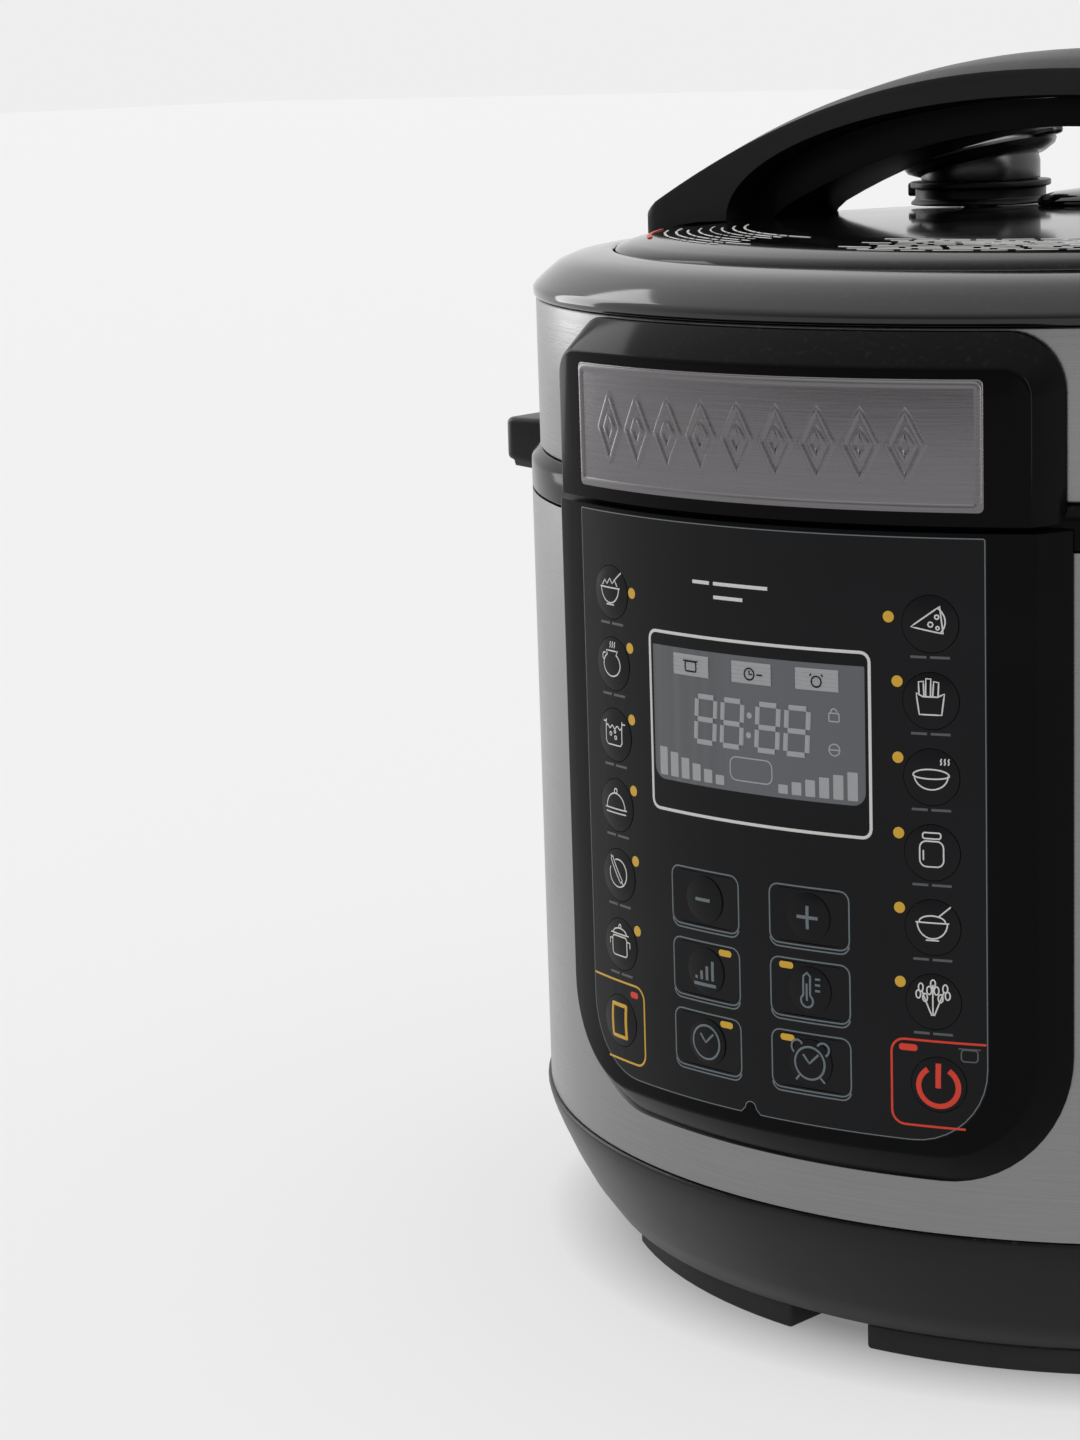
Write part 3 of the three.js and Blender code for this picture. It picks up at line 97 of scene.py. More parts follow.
class CookerColours(bpy.types.PropertyGroup):
    satin: paint("Satin plastic", "Handles, base and valves", 0.0045, 0.0045, 0.005)
    gloss: paint("Gloss plastic", "Lid cover, plate, ring and bezels", 0.0025, 0.0025, 0.003)
    film: paint("Panel film", "Printed film of the control panel", 0.0048, 0.005, 0.006)
    steel: paint("Brushed steel", "Shell and lid band", 0.25, 0.247, 0.25)
    nameplate: paint("Nameplate steel", "Embossed plate on the lid badge", 0.175, 0.168, 0.175)
    aluminium: paint("Aluminium", "Outer pot, inner lid and heating plate", 0.68, 0.68, 0.69)
    coating: paint("Pot coating", "Non-stick coating of the inner pot", 0.018, 0.018, 0.02)
    silicone: paint("Silicone", "Sealing ring", 0.62, 0.62, 0.58)
    rubber: paint("Rubber", "Feet", 0.01, 0.01, 0.01)
    display: paint("Display", "Unlit ground of the display", 0.066, 0.072, 0.082)
    segment: paint("Display segments", "Lit figures of the display", 0.33, 0.34, 0.35)
    ink_white: paint("White ink", "Programme marks", 0.62, 0.62, 0.60)
    ink_grey: paint("Grey ink", "Key outlines and marks", 0.13, 0.155, 0.17)
    ink_dim: paint("Dim ink", "Small print", 0.085, 0.09, 0.095)
    ink_amber: paint("Amber ink", "Programme dots and cancel outline", 0.62, 0.36, 0.03)
    ink_red: paint("Red ink", "Power mark and outline", 0.66, 0.04, 0.017)
    floor: paint("Floor", "Plain floor", 0.24, 0.24, 0.24)


class Millimetres:
    """The scene's cooker sizes, read in millimetres."""

    def __getattr__(self, name):
        return getattr(bpy.context.scene.cooker_sizes, name) / MM


def sizes():
    return Millimetres()


def colours():
    return bpy.context.scene.cooker_colours


# ---- Modelling by hand --------------------------------------------------------------------
def fresh():
    """Object mode with nothing selected."""
    if bpy.context.object and bpy.context.object.mode != "OBJECT":
        bpy.ops.object.mode_set(mode="OBJECT")
    bpy.ops.object.select_all(action="DESELECT")


def chosen(piece):
    fresh()
    piece.select_set(True)
    bpy.context.view_layer.objects.active = piece
    return piece


def chain(name, points):
    """A closed chain of edges through points given in millimetres, left in edit mode."""
    fresh()
    bpy.ops.mesh.primitive_plane_add(size=MM)
    piece = bpy.context.object
    piece.name = name
    bpy.ops.object.mode_set(mode="EDIT")
    bpy.ops.mesh.merge(type="CENTER")
    here = Vector((0, 0, 0))
    for number, point in enumerate([*points, points[0]]):
        step = Vector(point) * MM - here
        if number == 0:
            bpy.ops.transform.translate(value=step)
        else:
            bpy.ops.mesh.extrude_region_move(TRANSFORM_OT_translate={"value": step})
        here += step
    weld()
    return piece


def weld(gap=1e-6):
    bpy.ops.mesh.select_all(action="SELECT")
    bpy.ops.mesh.remove_doubles(threshold=gap)


def outward():
    bpy.ops.mesh.select_all(action="SELECT")
    bpy.ops.mesh.normals_make_consistent(inside=False)


def lathe(name, outline, steps=ROUND_STEPS, at=(0, 0)):
    """A closed outline of (radius, height) turned about an upright axis at a place in plan."""
    piece = chain(name, [(r, 0, z) for r, z in outline])
    bpy.ops.mesh.spin(steps=steps, angle=TURN, center=(0, 0, 0), axis=(0, 0, 1))
    weld(5e-6)
    outward()
    bpy.ops.transform.translate(value=(at[0] * MM, at[1] * MM, 0))
    bpy.ops.object.mode_set(mode="OBJECT")
    return piece


def slab(name, outline, near, far):
    """A flat outline of (across, height) given thickness along Y, left in edit mode."""
    piece = chain(name, [(x, near, z) for x, z in outline])
    bpy.ops.mesh.edge_face_add()
    bpy.ops.mesh.extrude_region_move(TRANSFORM_OT_translate={"value": (0, (far - near) * MM, 0)})
    outward()
    return piece


def block(name, outline, near, far):
    """A slab left as an object."""
    piece = slab(name, outline, near, far)
    bpy.ops.object.mode_set(mode="OBJECT")
    return piece


def plank(name, plan, top, thickness):
    """A level outline of (x, y) given thickness downwards, left as an object."""
    piece = chain(name, [(x, y, top) for x, y in plan])
    bpy.ops.mesh.edge_face_add()
    bpy.ops.mesh.extrude_region_move(TRANSFORM_OT_translate={"value": (0, 0, -thickness * MM)})
    outward()
    bpy.ops.object.mode_set(mode="OBJECT")
    return piece


def sliced(x_low, x_high, width=STRIP_WIDTH):
    """Cuts all that is being edited into upright strips, so that it can be bent."""
    count = max(1, round((x_high - x_low) / width))
    for number in range(1, count):
        bpy.ops.mesh.select_all(action="SELECT")
        x = (x_low + (x_high - x_low) * number / count) * MM
        bpy.ops.mesh.bisect(plane_co=(x, 0, 0), plane_no=(1, 0, 0))


def trimmed(axis, value, keep_above):
    """Cuts away one side of all that is being edited at a level plane and closes the cut."""
    normal = Vector((0, 0, 0))
    normal[axis] = 1
    bpy.ops.mesh.select_all(action="SELECT")
    bpy.ops.mesh.bisect(plane_co=normal * value * MM, plane_no=normal, use_fill=True,
                        clear_inner=keep_above, clear_outer=not keep_above)


def bent(piece, radius, turn=0.0):
    """Bends a piece drawn flat round the pot's axis: across becomes an angle at that radius."""
    if piece.mode == "EDIT":
        bpy.ops.object.mode_set(mode="OBJECT")
    for vertex in piece.data.vertices:
        angle = math.radians(turn) + vertex.co.x / (radius * MM)
        reach = -vertex.co.y
        vertex.co = (reach * math.sin(angle), -reach * math.cos(angle), vertex.co.z)
    piece.data.update()
    return piece


def curved_slab(name, half, outline, near, far, radius, width=STRIP_WIDTH):
    """A slab of a half width, cut into strips and bent round the pot's axis."""
    piece = slab(name, outline, near, far)
    sliced(-half, half, width)
    return bent(piece, radius)


def arc_length(degrees, radius):
    return math.radians(degrees) * radius


def softened(piece, width=None, segments=3, angle=28):
    """Rounds the edges that turn by more than an angle."""
    chosen(piece)
    bevel = piece.modifiers.new("Round edges", "BEVEL")
    bevel.width = (sizes().edge_softness if width is None else width) * MM
    bevel.segments = segments
    bevel.limit_method = "ANGLE"
    bevel.angle_limit = math.radians(angle)
    bpy.ops.object.modifier_apply(modifier=bevel.name)
    return piece


def carved(piece, tool, operation="DIFFERENCE"):
    """Cuts with, or joins, another piece, which is used up."""
    chosen(piece)
    cut = piece.modifiers.new("Carve", "BOOLEAN")
    cut.operation = operation
    cut.object = tool
    bpy.ops.object.modifier_apply(modifier=cut.name)
    bpy.data.objects.remove(tool)
    return piece


def joined(name, *pieces):
    chosen(pieces[0])
    for piece in pieces[1:]:
        piece.select_set(True)
    bpy.ops.object.join()
    pieces[0].name = name
    return pieces[0]


def turned(piece, degrees, axis="Z", centre=(0, 0, 0)):
    """Turns a piece's mesh about a line through a centre."""
    middle = Vector(centre) * MM
    spin = Matrix.Translation(middle) @ Matrix.Rotation(math.radians(degrees), 4, axis)
    piece.data.transform(spin @ Matrix.Translation(-middle))
    return piece


def copied(piece, name):
    twin = piece.copy()
    twin.data = piece.data.copy()
    twin.name = name
    bpy.context.scene.collection.objects.link(twin)
    return twin


def loft(name, rings):
    """A skin over closed rings of points in millimetres, all of one count, with both ends closed."""
    around = len(rings[0])
    fresh()
    bpy.ops.mesh.primitive_grid_add(x_subdivisions=around, y_subdivisions=len(rings) - 1, size=1)
    piece = bpy.context.object
    piece.name = name
    if len(piece.data.vertices) != (around + 1) * len(rings):
        raise RuntimeError(f"{name}: the grid has {len(piece.data.vertices)} points")
    points = [ring[number % around] for ring in rings for number in range(around + 1)]
    for vertex, point in zip(piece.data.vertices, points):
        vertex.co = Vector(point) * MM
    bpy.ops.object.mode_set(mode="EDIT")
    weld()
    bpy.ops.mesh.fill_holes(sides=0)
    outward()
    bpy.ops.object.mode_set(mode="OBJECT")
    return piece


def rounded(half, bottom, top, lower, upper, steps=8):
    """Outline of a rectangle about x = 0 with rounded lower and upper corners."""
    points = []
    corners = [(half, bottom, lower, -90), (half, top, upper, 0), (-half, top, upper, 90),
               (-half, bottom, lower, 180)]
    for x, z, radius, start in corners:
        cx = x - math.copysign(radius, x)
        cz = z + radius if z == bottom else z - radius
        count = steps if radius else 0
        for number in range(count + 1):
            angle = math.radians(start + 90 * number / max(count, 1))
            points.append((cx + radius * math.cos(angle), cz + radius * math.sin(angle)))
    return points


def done(piece, body, finish, nodes=(), smooth=32):
    """Finish, shading, body and the CAD nodes that the piece stands for, which are hidden."""
    chosen(piece)
    bpy.ops.object.shade_smooth_by_angle(angle=math.radians(smooth))
    piece.data.materials.clear()
    piece.data.materials.append(finishes()[finish])
    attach(piece, body)
    if nodes:
        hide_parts(*nodes)
    return piece


# ---- Finishes -----------------------------------------------------------------------------
def node_group(name, inputs, outputs):
    """A shader node group with float inputs (name, default) and float outputs, and its two ends."""
    tree = bpy.data.node_groups.new(name, "ShaderNodeTree")
    for title, value in inputs:
        tree.interface.new_socket(title, in_out="INPUT", socket_type="NodeSocketFloat").default_value = value
    for title in outputs:
        tree.interface.new_socket(title, in_out="OUTPUT", socket_type="NodeSocketFloat")
    return tree, tree.nodes.new("NodeGroupInput"), tree.nodes.new("NodeGroupOutput")


def added(tree, kind, settings=(), **links):
    """A node with its settings, and its inputs linked to sockets or given values."""
    node = tree.nodes.new(kind)
    for key, value in dict(settings).items():
        setattr(node, key, value)
    for key, value in links.items():
        socket = node.inputs[int(key[1:])] if key[1:].isdigit() else node.inputs[key.replace("_", " ")]
        if isinstance(value, bpy.types.NodeSocket):
            tree.links.new(value, socket)
        else:
            socket.default_value = value
    return node


def scaled_place(tree, across, upright):
    """Object coordinates scaled by one value across and another upright."""
    place = added(tree, "ShaderNodeTexCoord")
    scale = added(tree, "ShaderNodeCombineXYZ", X=across, Y=across, Z=upright)
    return added(tree, "ShaderNodeVectorMath", {"operation": "MULTIPLY"},
                 _0=place.outputs["Object"], _1=scale.outputs[0]).outputs[0]


def ranged(tree, value, start, end, to_start=0.0, to_end=1.0):
    return added(tree, "ShaderNodeMapRange", Value=value, From_Min=start, From_Max=end,
                 To_Min=to_start, To_Max=to_end).outputs[0]


def brushing_group():
    """Fine strokes that run level round a piece: streaks and slow patches."""
    tree, start, end = node_group(
        "Brushing", [("Along", 30.0), ("Across", 2600.0), ("Patches", 9.0)], ["Streaks", "Patches"])
    fine = added(tree, "ShaderNodeTexNoise",
                 Vector=scaled_place(tree, start.outputs["Along"], start.outputs["Across"]),
                 Scale=1.0, Detail=3.0, Roughness=0.7)
    slow = added(tree, "ShaderNodeTexNoise",
                 Vector=scaled_place(tree, start.outputs["Patches"], start.outputs["Patches"]),
                 Scale=1.0, Detail=2.0)
    tree.links.new(ranged(tree, fine.outputs["Fac"], 0.3, 0.7), end.inputs["Streaks"])
    tree.links.new(ranged(tree, slow.outputs["Fac"], 0.3, 0.7), end.inputs["Patches"])
    return tree


def grain_group():
    """Moulded or cast surface: a fine pebbled height and a speckle mask."""
    tree, start, end = node_group("Moulded grain", [("Fineness", 900.0), ("Speckle", 0.62)],
                                  ["Height", "Speckle"])
    place = scaled_place(tree, start.outputs["Fineness"], start.outputs["Fineness"])
    pebble = added(tree, "ShaderNodeTexNoise", Vector=place, Scale=1.0, Detail=4.0, Roughness=0.6)
    cells = added(tree, "ShaderNodeTexVoronoi", Vector=place, Scale=0.8)
    mask = added(tree, "ShaderNodeMath", {"operation": "GREATER_THAN"},
                 _0=cells.outputs["Color"], _1=start.outputs["Speckle"])
    tree.links.new(pebble.outputs["Fac"], end.inputs["Height"])
    tree.links.new(mask.outputs[0], end.inputs["Speckle"])
    return tree


def handling_group():
    """Faint smears left by hands, and dust that settles on what faces up."""
    tree, start, end = node_group("Handling", [("Smear size", 14.0), ("Dust", 0.5)], ["Smears", "Dust"])
    smear = added(tree, "ShaderNodeTexNoise",
                  Vector=scaled_place(tree, start.outputs["Smear size"], start.outputs["Smear size"]),
                  Scale=1.0, Detail=5.0, Distortion=1.2)
    specks = added(tree, "ShaderNodeTexNoise", Vector=scaled_place(tree, 700.0, 700.0), Scale=1.0, Detail=2.0)
    facing = added(tree, "ShaderNodeSeparateXYZ",
                   Vector=added(tree, "ShaderNodeNewGeometry").outputs["Normal"])
    up = ranged(tree, facing.outputs["Z"], 0.3, 1.0)
    settled = added(tree, "ShaderNodeMath", {"operation": "MULTIPLY"},
                    _0=ranged(tree, specks.outputs["Fac"], 0.58, 0.8), _1=up)
    dust = added(tree, "ShaderNodeMath", {"operation": "MULTIPLY"},
                 _0=settled.outputs[0], _1=start.outputs["Dust"])
    tree.links.new(ranged(tree, smear.outputs["Fac"], 0.4, 0.72), end.inputs["Smears"])
    tree.links.new(dust.outputs[0], end.inputs["Dust"])
    return tree


def grouped(tree, group, **values):
    node = tree.nodes.new("ShaderNodeGroup")
    node.node_tree = bpy.data.node_groups[group]
    for key, value in values.items():
        node.inputs[key.replace("_", " ")].default_value = value
    return node


def shader(name, **constants):
    """A material with its shader, whose even values are set on the shader itself."""
    material = bpy.data.materials.new(name)
    material.use_nodes = True
    surface = material.node_tree.nodes["Principled BSDF"]
    for key, value in constants.items():
        surface.inputs[key.replace("_", " ")].default_value = value
    return material, material.node_tree, surface


def mixed(tree, factor, dark, light):
    return added(tree, "ShaderNodeMix", {"data_type": "RGBA"}, _0=factor,
                 _6=(*dark, 1), _7=(*light, 1)).outputs[2]


def lightened(colour, amount):
    return tuple(min(1.0, channel * amount + (amount - 1) * 0.002) for channel in colour)


def bumped(tree, surface, height, depth):
    bump = added(tree, "ShaderNodeBump", Height=height, Distance=depth * MM)
    tree.links.new(bump.outputs[0], surface.inputs["Normal"])


def moulded_finish(name, colour, smooth, rough, fineness=900.0, depth=0.02, dust=0.5, specular=0.5):
    """Moulded plastic, rubber or silicone: pebbled, with smears and a little dust."""
    material, tree, surface = shader(name, Specular_IOR_Level=specular)
    grain = grouped(tree, "Moulded grain", Fineness=fineness)
    marks = grouped(tree, "Handling", Dust=dust)
    worn = mixed(tree, marks.outputs["Smears"], colour, lightened(colour, 1.25))
    dusty = added(tree, "ShaderNodeMix", {"data_type": "RGBA"}, _0=marks.outputs["Dust"], _6=worn,
                  _7=(0.16, 0.155, 0.15, 1)).outputs[2]
    tree.links.new(dusty, surface.inputs["Base Color"])
    tree.links.new(ranged(tree, marks.outputs["Smears"], 0, 1, smooth, rough), surface.inputs["Roughness"])
    bumped(tree, surface, grain.outputs["Height"], depth)
    return material


def brushed_finish(name, colour, smooth, rough, along=30.0, across=2600.0, depth=0.012):
    """Brushed or spun metal with strokes that run level."""
    material, tree, surface = shader(name, Metallic=1.0)
    strokes = grouped(tree, "Brushing", Along=along, Across=across)
    marks = grouped(tree, "Handling", Dust=0.0)
    base = mixed(tree, strokes.outputs["Streaks"], tuple(c * 0.9 for c in colour), lightened(colour, 1.06))
    cloudy = added(tree, "ShaderNodeMix", {"data_type": "RGBA", "blend_type": "MULTIPLY"},
                   _0=ranged(tree, strokes.outputs["Patches"], 0, 1, 0.0, 0.25), _6=base,
                   _7=(0.93, 0.92, 0.9, 1)).outputs[2]
    tree.links.new(cloudy, surface.inputs["Base Color"])
    rough_strokes = ranged(tree, strokes.outputs["Streaks"], 0, 1, smooth, rough)
    smeared = added(tree, "ShaderNodeMath", {"operation": "MULTIPLY_ADD"},
                    _0=marks.outputs["Smears"], _1=0.05, _2=rough_strokes)
    tree.links.new(smeared.outputs[0], surface.inputs["Roughness"])
    bumped(tree, surface, strokes.outputs["Streaks"], depth)
    return material


def coating_finish(name, colour):
    """Speckled non-stick coating."""
    material, tree, surface = shader(name)
    grain = grouped(tree, "Moulded grain", Fineness=520.0, Speckle=0.93)
    marks = grouped(tree, "Handling", Dust=0.0)
    tree.links.new(mixed(tree, grain.outputs["Speckle"], colour, (0.12, 0.12, 0.125)),
                   surface.inputs["Base Color"])
    tree.links.new(ranged(tree, marks.outputs["Smears"], 0, 1, 0.34, 0.46), surface.inputs["Roughness"])
    bumped(tree, surface, grain.outputs["Height"], 0.02)
    return material


def printed_finish(name, colour, roughness=0.42):
    """Screen-printed ink with slightly uneven cover."""
    material, tree, surface = shader(name, Specular_IOR_Level=0.3)
    grain = grouped(tree, "Moulded grain", Fineness=2600.0)
    tree.links.new(mixed(tree, grain.outputs["Height"], tuple(c * 0.85 for c in colour),
                         lightened(colour, 1.12)),
                   surface.inputs["Base Color"])
    tree.links.new(ranged(tree, grain.outputs["Height"], 0.3, 0.7, roughness - 0.05, roughness + 0.08),
                   surface.inputs["Roughness"])
    return material


def display_finish(name, colour):
    """Unlit display: upright darker streaks towards its left side under a glossy window."""
    material, tree, surface = shader(name, Coat_Weight=1.0, Coat_Roughness=0.06, Specular_IOR_Level=0.3)
    place = added(tree, "ShaderNodeTexCoord")
    stretch = added(tree, "ShaderNodeMapping", Vector=place.outputs["Object"], Scale=(260.0, 0.0, 2.0))
    streaks = added(tree, "ShaderNodeTexNoise", Vector=stretch.outputs[0], Scale=1.0, Detail=2.0)
    side = added(tree, "ShaderNodeSeparateXYZ", Vector=place.outputs["Object"])
    left = ranged(tree, side.outputs["X"], 0.0, -0.024)
    amount = added(tree, "ShaderNodeMath", {"operation": "MULTIPLY"},
                   _0=ranged(tree, streaks.outputs["Fac"], 0.35, 0.65), _1=left)
    tree.links.new(mixed(tree, amount.outputs[0], colour, tuple(c * 0.5 for c in colour)),
                   surface.inputs["Base Color"])
    tree.links.new(ranged(tree, streaks.outputs["Fac"], 0.3, 0.7, 0.34, 0.42), surface.inputs["Roughness"])
    return material


def clear_finish(name):
    """Clear moulded plastic."""
    material, tree, surface = shader(name, Transmission_Weight=0.9, IOR=1.49)
    marks = grouped(tree, "Handling", Dust=0.0)
    tree.links.new(mixed(tree, marks.outputs["Smears"], (0.86, 0.88, 0.9), (0.8, 0.82, 0.84)),
                   surface.inputs["Base Color"])
    tree.links.new(ranged(tree, marks.outputs["Smears"], 0, 1, 0.06, 0.16), surface.inputs["Roughness"])
    return material


def finishes():
    """All finishes by name, made on first use."""
    if "Satin plastic" in bpy.data.materials:
        return bpy.data.materials
    paints = colours()
    for make in (brushing_group, grain_group, handling_group):
        make()
    moulded_finish("Satin plastic", paints.satin, 0.34, 0.42, depth=0.016, dust=0.25, specular=0.22)
    moulded_finish("Shaded plastic", paints.satin, 0.36, 0.44, depth=0.016, dust=0.1, specular=0.06)
    moulded_finish("Valve plastic", paints.satin, 0.26, 0.34, depth=0.01, dust=0.2, specular=0.85)
    moulded_finish("Gloss plate", paints.gloss, 0.06, 0.1, fineness=120.0, depth=0.003, dust=0.12,
                   specular=0.12)
    moulded_finish("Gloss lid", paints.gloss, 0.07, 0.12, fineness=120.0, depth=0.004, dust=0.12)
    moulded_finish("Gloss plastic", paints.gloss, 0.09, 0.16, fineness=120.0, depth=0.004, dust=0.08,
                   specular=0.05)
    moulded_finish("Panel film", paints.film, 0.2, 0.27, fineness=1800.0, depth=0.004, dust=0.06,
                   specular=0.13)
    moulded_finish("Silicone", paints.silicone, 0.5, 0.62, fineness=400.0, depth=0.02, dust=0.2)
    moulded_finish("Rubber", paints.rubber, 0.7, 0.85, fineness=600.0, depth=0.05, dust=0.6)
    moulded_finish("Circuit board", (0.012, 0.075, 0.03), 0.4, 0.55, fineness=500.0, depth=0.03)
    brushed_finish("Brushed shell", paints.steel, 0.24, 0.36)
    brushed_finish("Nameplate steel", paints.nameplate, 0.22, 0.34, along=45.0, across=3600.0)
    brushed_finish("Pressed steel", (0.52, 0.52, 0.52), 0.2, 0.3, along=200.0, across=900.0, depth=0.006)
    brushed_finish("Spun aluminium", paints.aluminium, 0.3, 0.42, along=60.0, across=900.0)
    coating_finish("Pot coating", paints.coating)
    display_finish("Display", paints.display)
    clear_finish("Clear plastic")
    for name, ink in [("Display segments", paints.segment), ("White ink", paints.ink_white),
                      ("Grey ink", paints.ink_grey), ("Dim ink", paints.ink_dim),
                      ("Amber ink", paints.ink_amber), ("Red ink", paints.ink_red)]:
        printed_finish(name, ink)
    return bpy.data.materials


# ---- Printed marks ------------------------------------------------------------------------
def arc(cx, cz, rx, rz, start, end, steps=14):
    """Points along part of an ellipse, angles in degrees from across towards up."""
    return [(cx + rx * math.cos(math.radians(start + (end - start) * i / steps)),
             cz + rz * math.sin(math.radians(start + (end - start) * i / steps))) for i in range(steps + 1)]


def ring(cx, cz, r, steps=18):
    return arc(cx, cz, r, r, 0, 360, steps)


def frame_line(x0, z0, x1, z1, corner):
    """A closed rectangle with rounded corners."""
    middle = (x0 + x1) / 2
    points = [(x + middle, z) for x, z in rounded((x1 - x0) / 2, z0, z1, corner, corner, 4)]
    return [*points, points[0]]


def wave(x0, x1, z, height, count):
    steps = count * 8
    return [(x0 + (x1 - x0) * i / steps, z + height * math.sin(TURN * count * i / steps))
            for i in range(steps + 1)]


def steam(x, z):
    return [[(x + k, z), (x + k + 0.25, z + 0.5), (x + k, z + 1.0), (x + k + 0.25, z + 1.5)]
            for k in (-0.9, 0, 0.9)]


def divided(points, step=1.5):
    """The same run of points with long stretches divided, so that it can follow a curve."""
    fine = [points[0]]
    for (x0, z0), (x1, z1) in zip(points, points[1:]):
        count = max(1, math.ceil(math.dist((x0, z0), (x1, z1)) / step))
        fine += [(x0 + (x1 - x0) * i / count, z0 + (z1 - z0) * i / count) for i in range(1, count + 1)]
    return fine


def printed(name, lines=(), width=None, pads=()):
    """Lines and filled pads drawn flat in millimetres, as one mesh lying in X and Y."""
    fresh()
    made = []
    thick = (sizes().line_width if width is None else width) * MM
    for filled, shapes in ((False, lines), (True, pads)):
        if not shapes:
            continue
        data = bpy.data.curves.new(name, "CURVE")
        if filled:
            data.dimensions = "2D"
            data.fill_mode = "BOTH"
            data.extrude = 0.04 * MM
        else:
            data.dimensions = "3D"
            data.bevel_depth = thick / 2
            data.bevel_resolution = 1
            data.use_fill_caps = True
        for shape in shapes:
            closed = filled or (len(shape) > 2 and math.dist(shape[0], shape[-1]) < 1e-6)
            run = divided(shape)
            points = run[:-1] if math.dist(shape[0], shape[-1]) < 1e-6 else run
            spline = data.splines.new("POLY")
            spline.points.add(len(points) - 1)
            for target, (x, z) in zip(spline.points, points):
                target.co = (x * MM, z * MM, 0, 1)
            spline.use_cyclic_u = closed
        made.append(bpy.data.objects.new(name, data))
        bpy.context.scene.collection.objects.link(made[-1])
    for piece in made:
        chosen(piece)
        bpy.ops.object.convert(target="MESH")
    return joined(name, *made)


def laid(piece, degrees, z, radius, lift=None, flat=0.35):
    """Lays a flat drawn piece on the round panel about an angle and height."""
    for vertex in piece.data.vertices:
        across, up, out = vertex.co
        angle = math.radians(degrees) + across / (radius * MM)
        reach = radius * MM + out * flat + (lift(across / MM, up / MM) * MM if lift else 0)
        vertex.co = (reach * math.sin(angle), -reach * math.cos(angle), z * MM + up)
    piece.data.update()
    return piece


def dome_rise(across, up):
    """How far a key's dome stands over the film at a place on the key."""
    distance = math.hypot(across, up) / DOME_RADIUS
    face = sizes().panel_radius + FILM_PROUD
    return math.hypot(face + DOME_HEIGHT * (1 - distance ** 2),
                      across) - face + 0.04 if distance < 1 else 0.04


def programme_marks(side, row):
    """Line drawing for a programme key, within about nine millimetres."""
    bowl = [arc(0, 0.4, 3.7, 3.9, 180, 360), [(-4.1, 0.4), (4.1, 0.4)], [(-1.6, -3.9), (1.6, -3.9)]]
    left = [
        [*bowl, [(-3.2, 0.8), (-2.2, 2.2), (-1.1, 1.3), (0, 2.7), (1.1, 1.5), (2.1, 2.3), (3.1, 0.9)],
         [(1.7, 2.2), (4.3, 4.4)]],
        [arc(0, -1.0, 3.5, 3.0, 122, 418, 22), [(-1.9, 1.5), (-2.4, 2.5), (2.4, 2.5), (1.9, 1.5)],
         arc(-3.2, 0.9, 0.9, 0.9, 60, 250, 8), *steam(0, 3.3)],
        [[(-3.4, 2.9), (-3.4, -2.6), (-2.7, -3.4), (2.7, -3.4), (3.4, -2.6), (3.4, 2.9)],
         [(-4.6, 2.3), (-3.4, 2.3)], [(3.4, 2.3), (4.6, 2.3)], wave(-3.2, 3.2, 1.2, 0.4, 3),
         ring(-1.2, -0.6, 0.45, 8), ring(0.9, -1.4, 0.45, 8), ring(0.6, 0.1, 0.35, 8)],
        [arc(0, -1.6, 3.9, 3.9, 0, 180, 18), [(-4.6, -1.7), (4.6, -1.7)], [(-4.2, -2.8), (4.2, -2.8)],
         ring(0, 2.9, 0.6, 10)],
        [arc(0.2, -0.3, 3.6, 3.6, 158, 470, 22),
         [(-3.1, 3.2), (-2.4, 3.8), (2.0, -2.0), (1.2, -2.7), (-3.1, 3.2)],
         [(-2.8, 3.5), (-3.2, 4.0)], [(1.6, -2.3), (2.5, -3.4)]],
        [frame_line(-3.1, -3.8, 3.1, 1.3, 0.9), [(-3.8, 1.9), (3.8, 1.9)], arc(0, 1.9, 2.9, 1.5, 0, 180),
         ring(0, 3.9, 0.5, 8), [(-3.1, 0.3), (-4.3, 0.3), (-4.3, -1.2)],
         [(3.1, 0.3), (4.3, 0.3), (4.3, -1.2)]],
    ]
    right = [
        [[(-4.6, -1.6), (3.2, -3.0), (2.4, 3.4), (-4.6, -1.6)], arc(-2.6, -0.2, 6.3, 4.6, -36, 46, 8),
         ring(0.2, -0.9, 0.6, 8), ring(1.7, 0.9, 0.5, 8), ring(1.9, -1.7, 0.4, 8)],
        [[(-3.4, 1.0), (-2.7, -4.1), (2.7, -4.1), (3.4, 1.0), (1.8, 0.2), (-1.8, 0.2), (-3.4, 1.0)],
         [(-2.7, 0.8), (-2.9, 3.6), (-1.7, 3.8), (-1.5, 0.3)],
         [(-1.1, 0.2), (-1.1, 4.4), (0.1, 4.4), (0.1, 0.2)],
         [(0.6, 0.2), (0.8, 3.8), (2.0, 3.6), (1.9, 0.4)]],
        [arc(0, -0.4, 4.1, 3.4, 180, 360), arc(0, -0.4, 4.4, 1.5, 0, 180), arc(0, -0.4, 4.4, 0.8, 180, 360),
         *steam(3.2, 2.2)],
        [frame_line(-2.9, -4.2, 2.9, 2.0, 1.6), frame_line(-2.2, 2.6, 2.2, 4.0, 0.5),
         [(-2.0, -0.2), (-2.0, -2.6)]],
        [*bowl, arc(0, 0.6, 3.2, 1.5, 0, 180), [(1.5, 1.9), (4.4, 4.4)]],
        [[(0, -4.2), (0, 3.4)], [(-0.3, -4.2), (-2.7, 1.8)], [(0.3, -4.2), (2.7, 1.8)],
         *[arc(x, z, 0.6, 1.0, 0, 360, 10) for x, z in
           [(0, 3.6), (-0.9, 2.0), (0.9, 2.0), (-3.0, 2.6), (-3.6, 0.9), (-1.9, 0.2), (3.0, 2.6), (3.6, 0.9),
            (1.9, 0.2)]]],
    ]
    return (left if side == "left" else right)[row - 1]


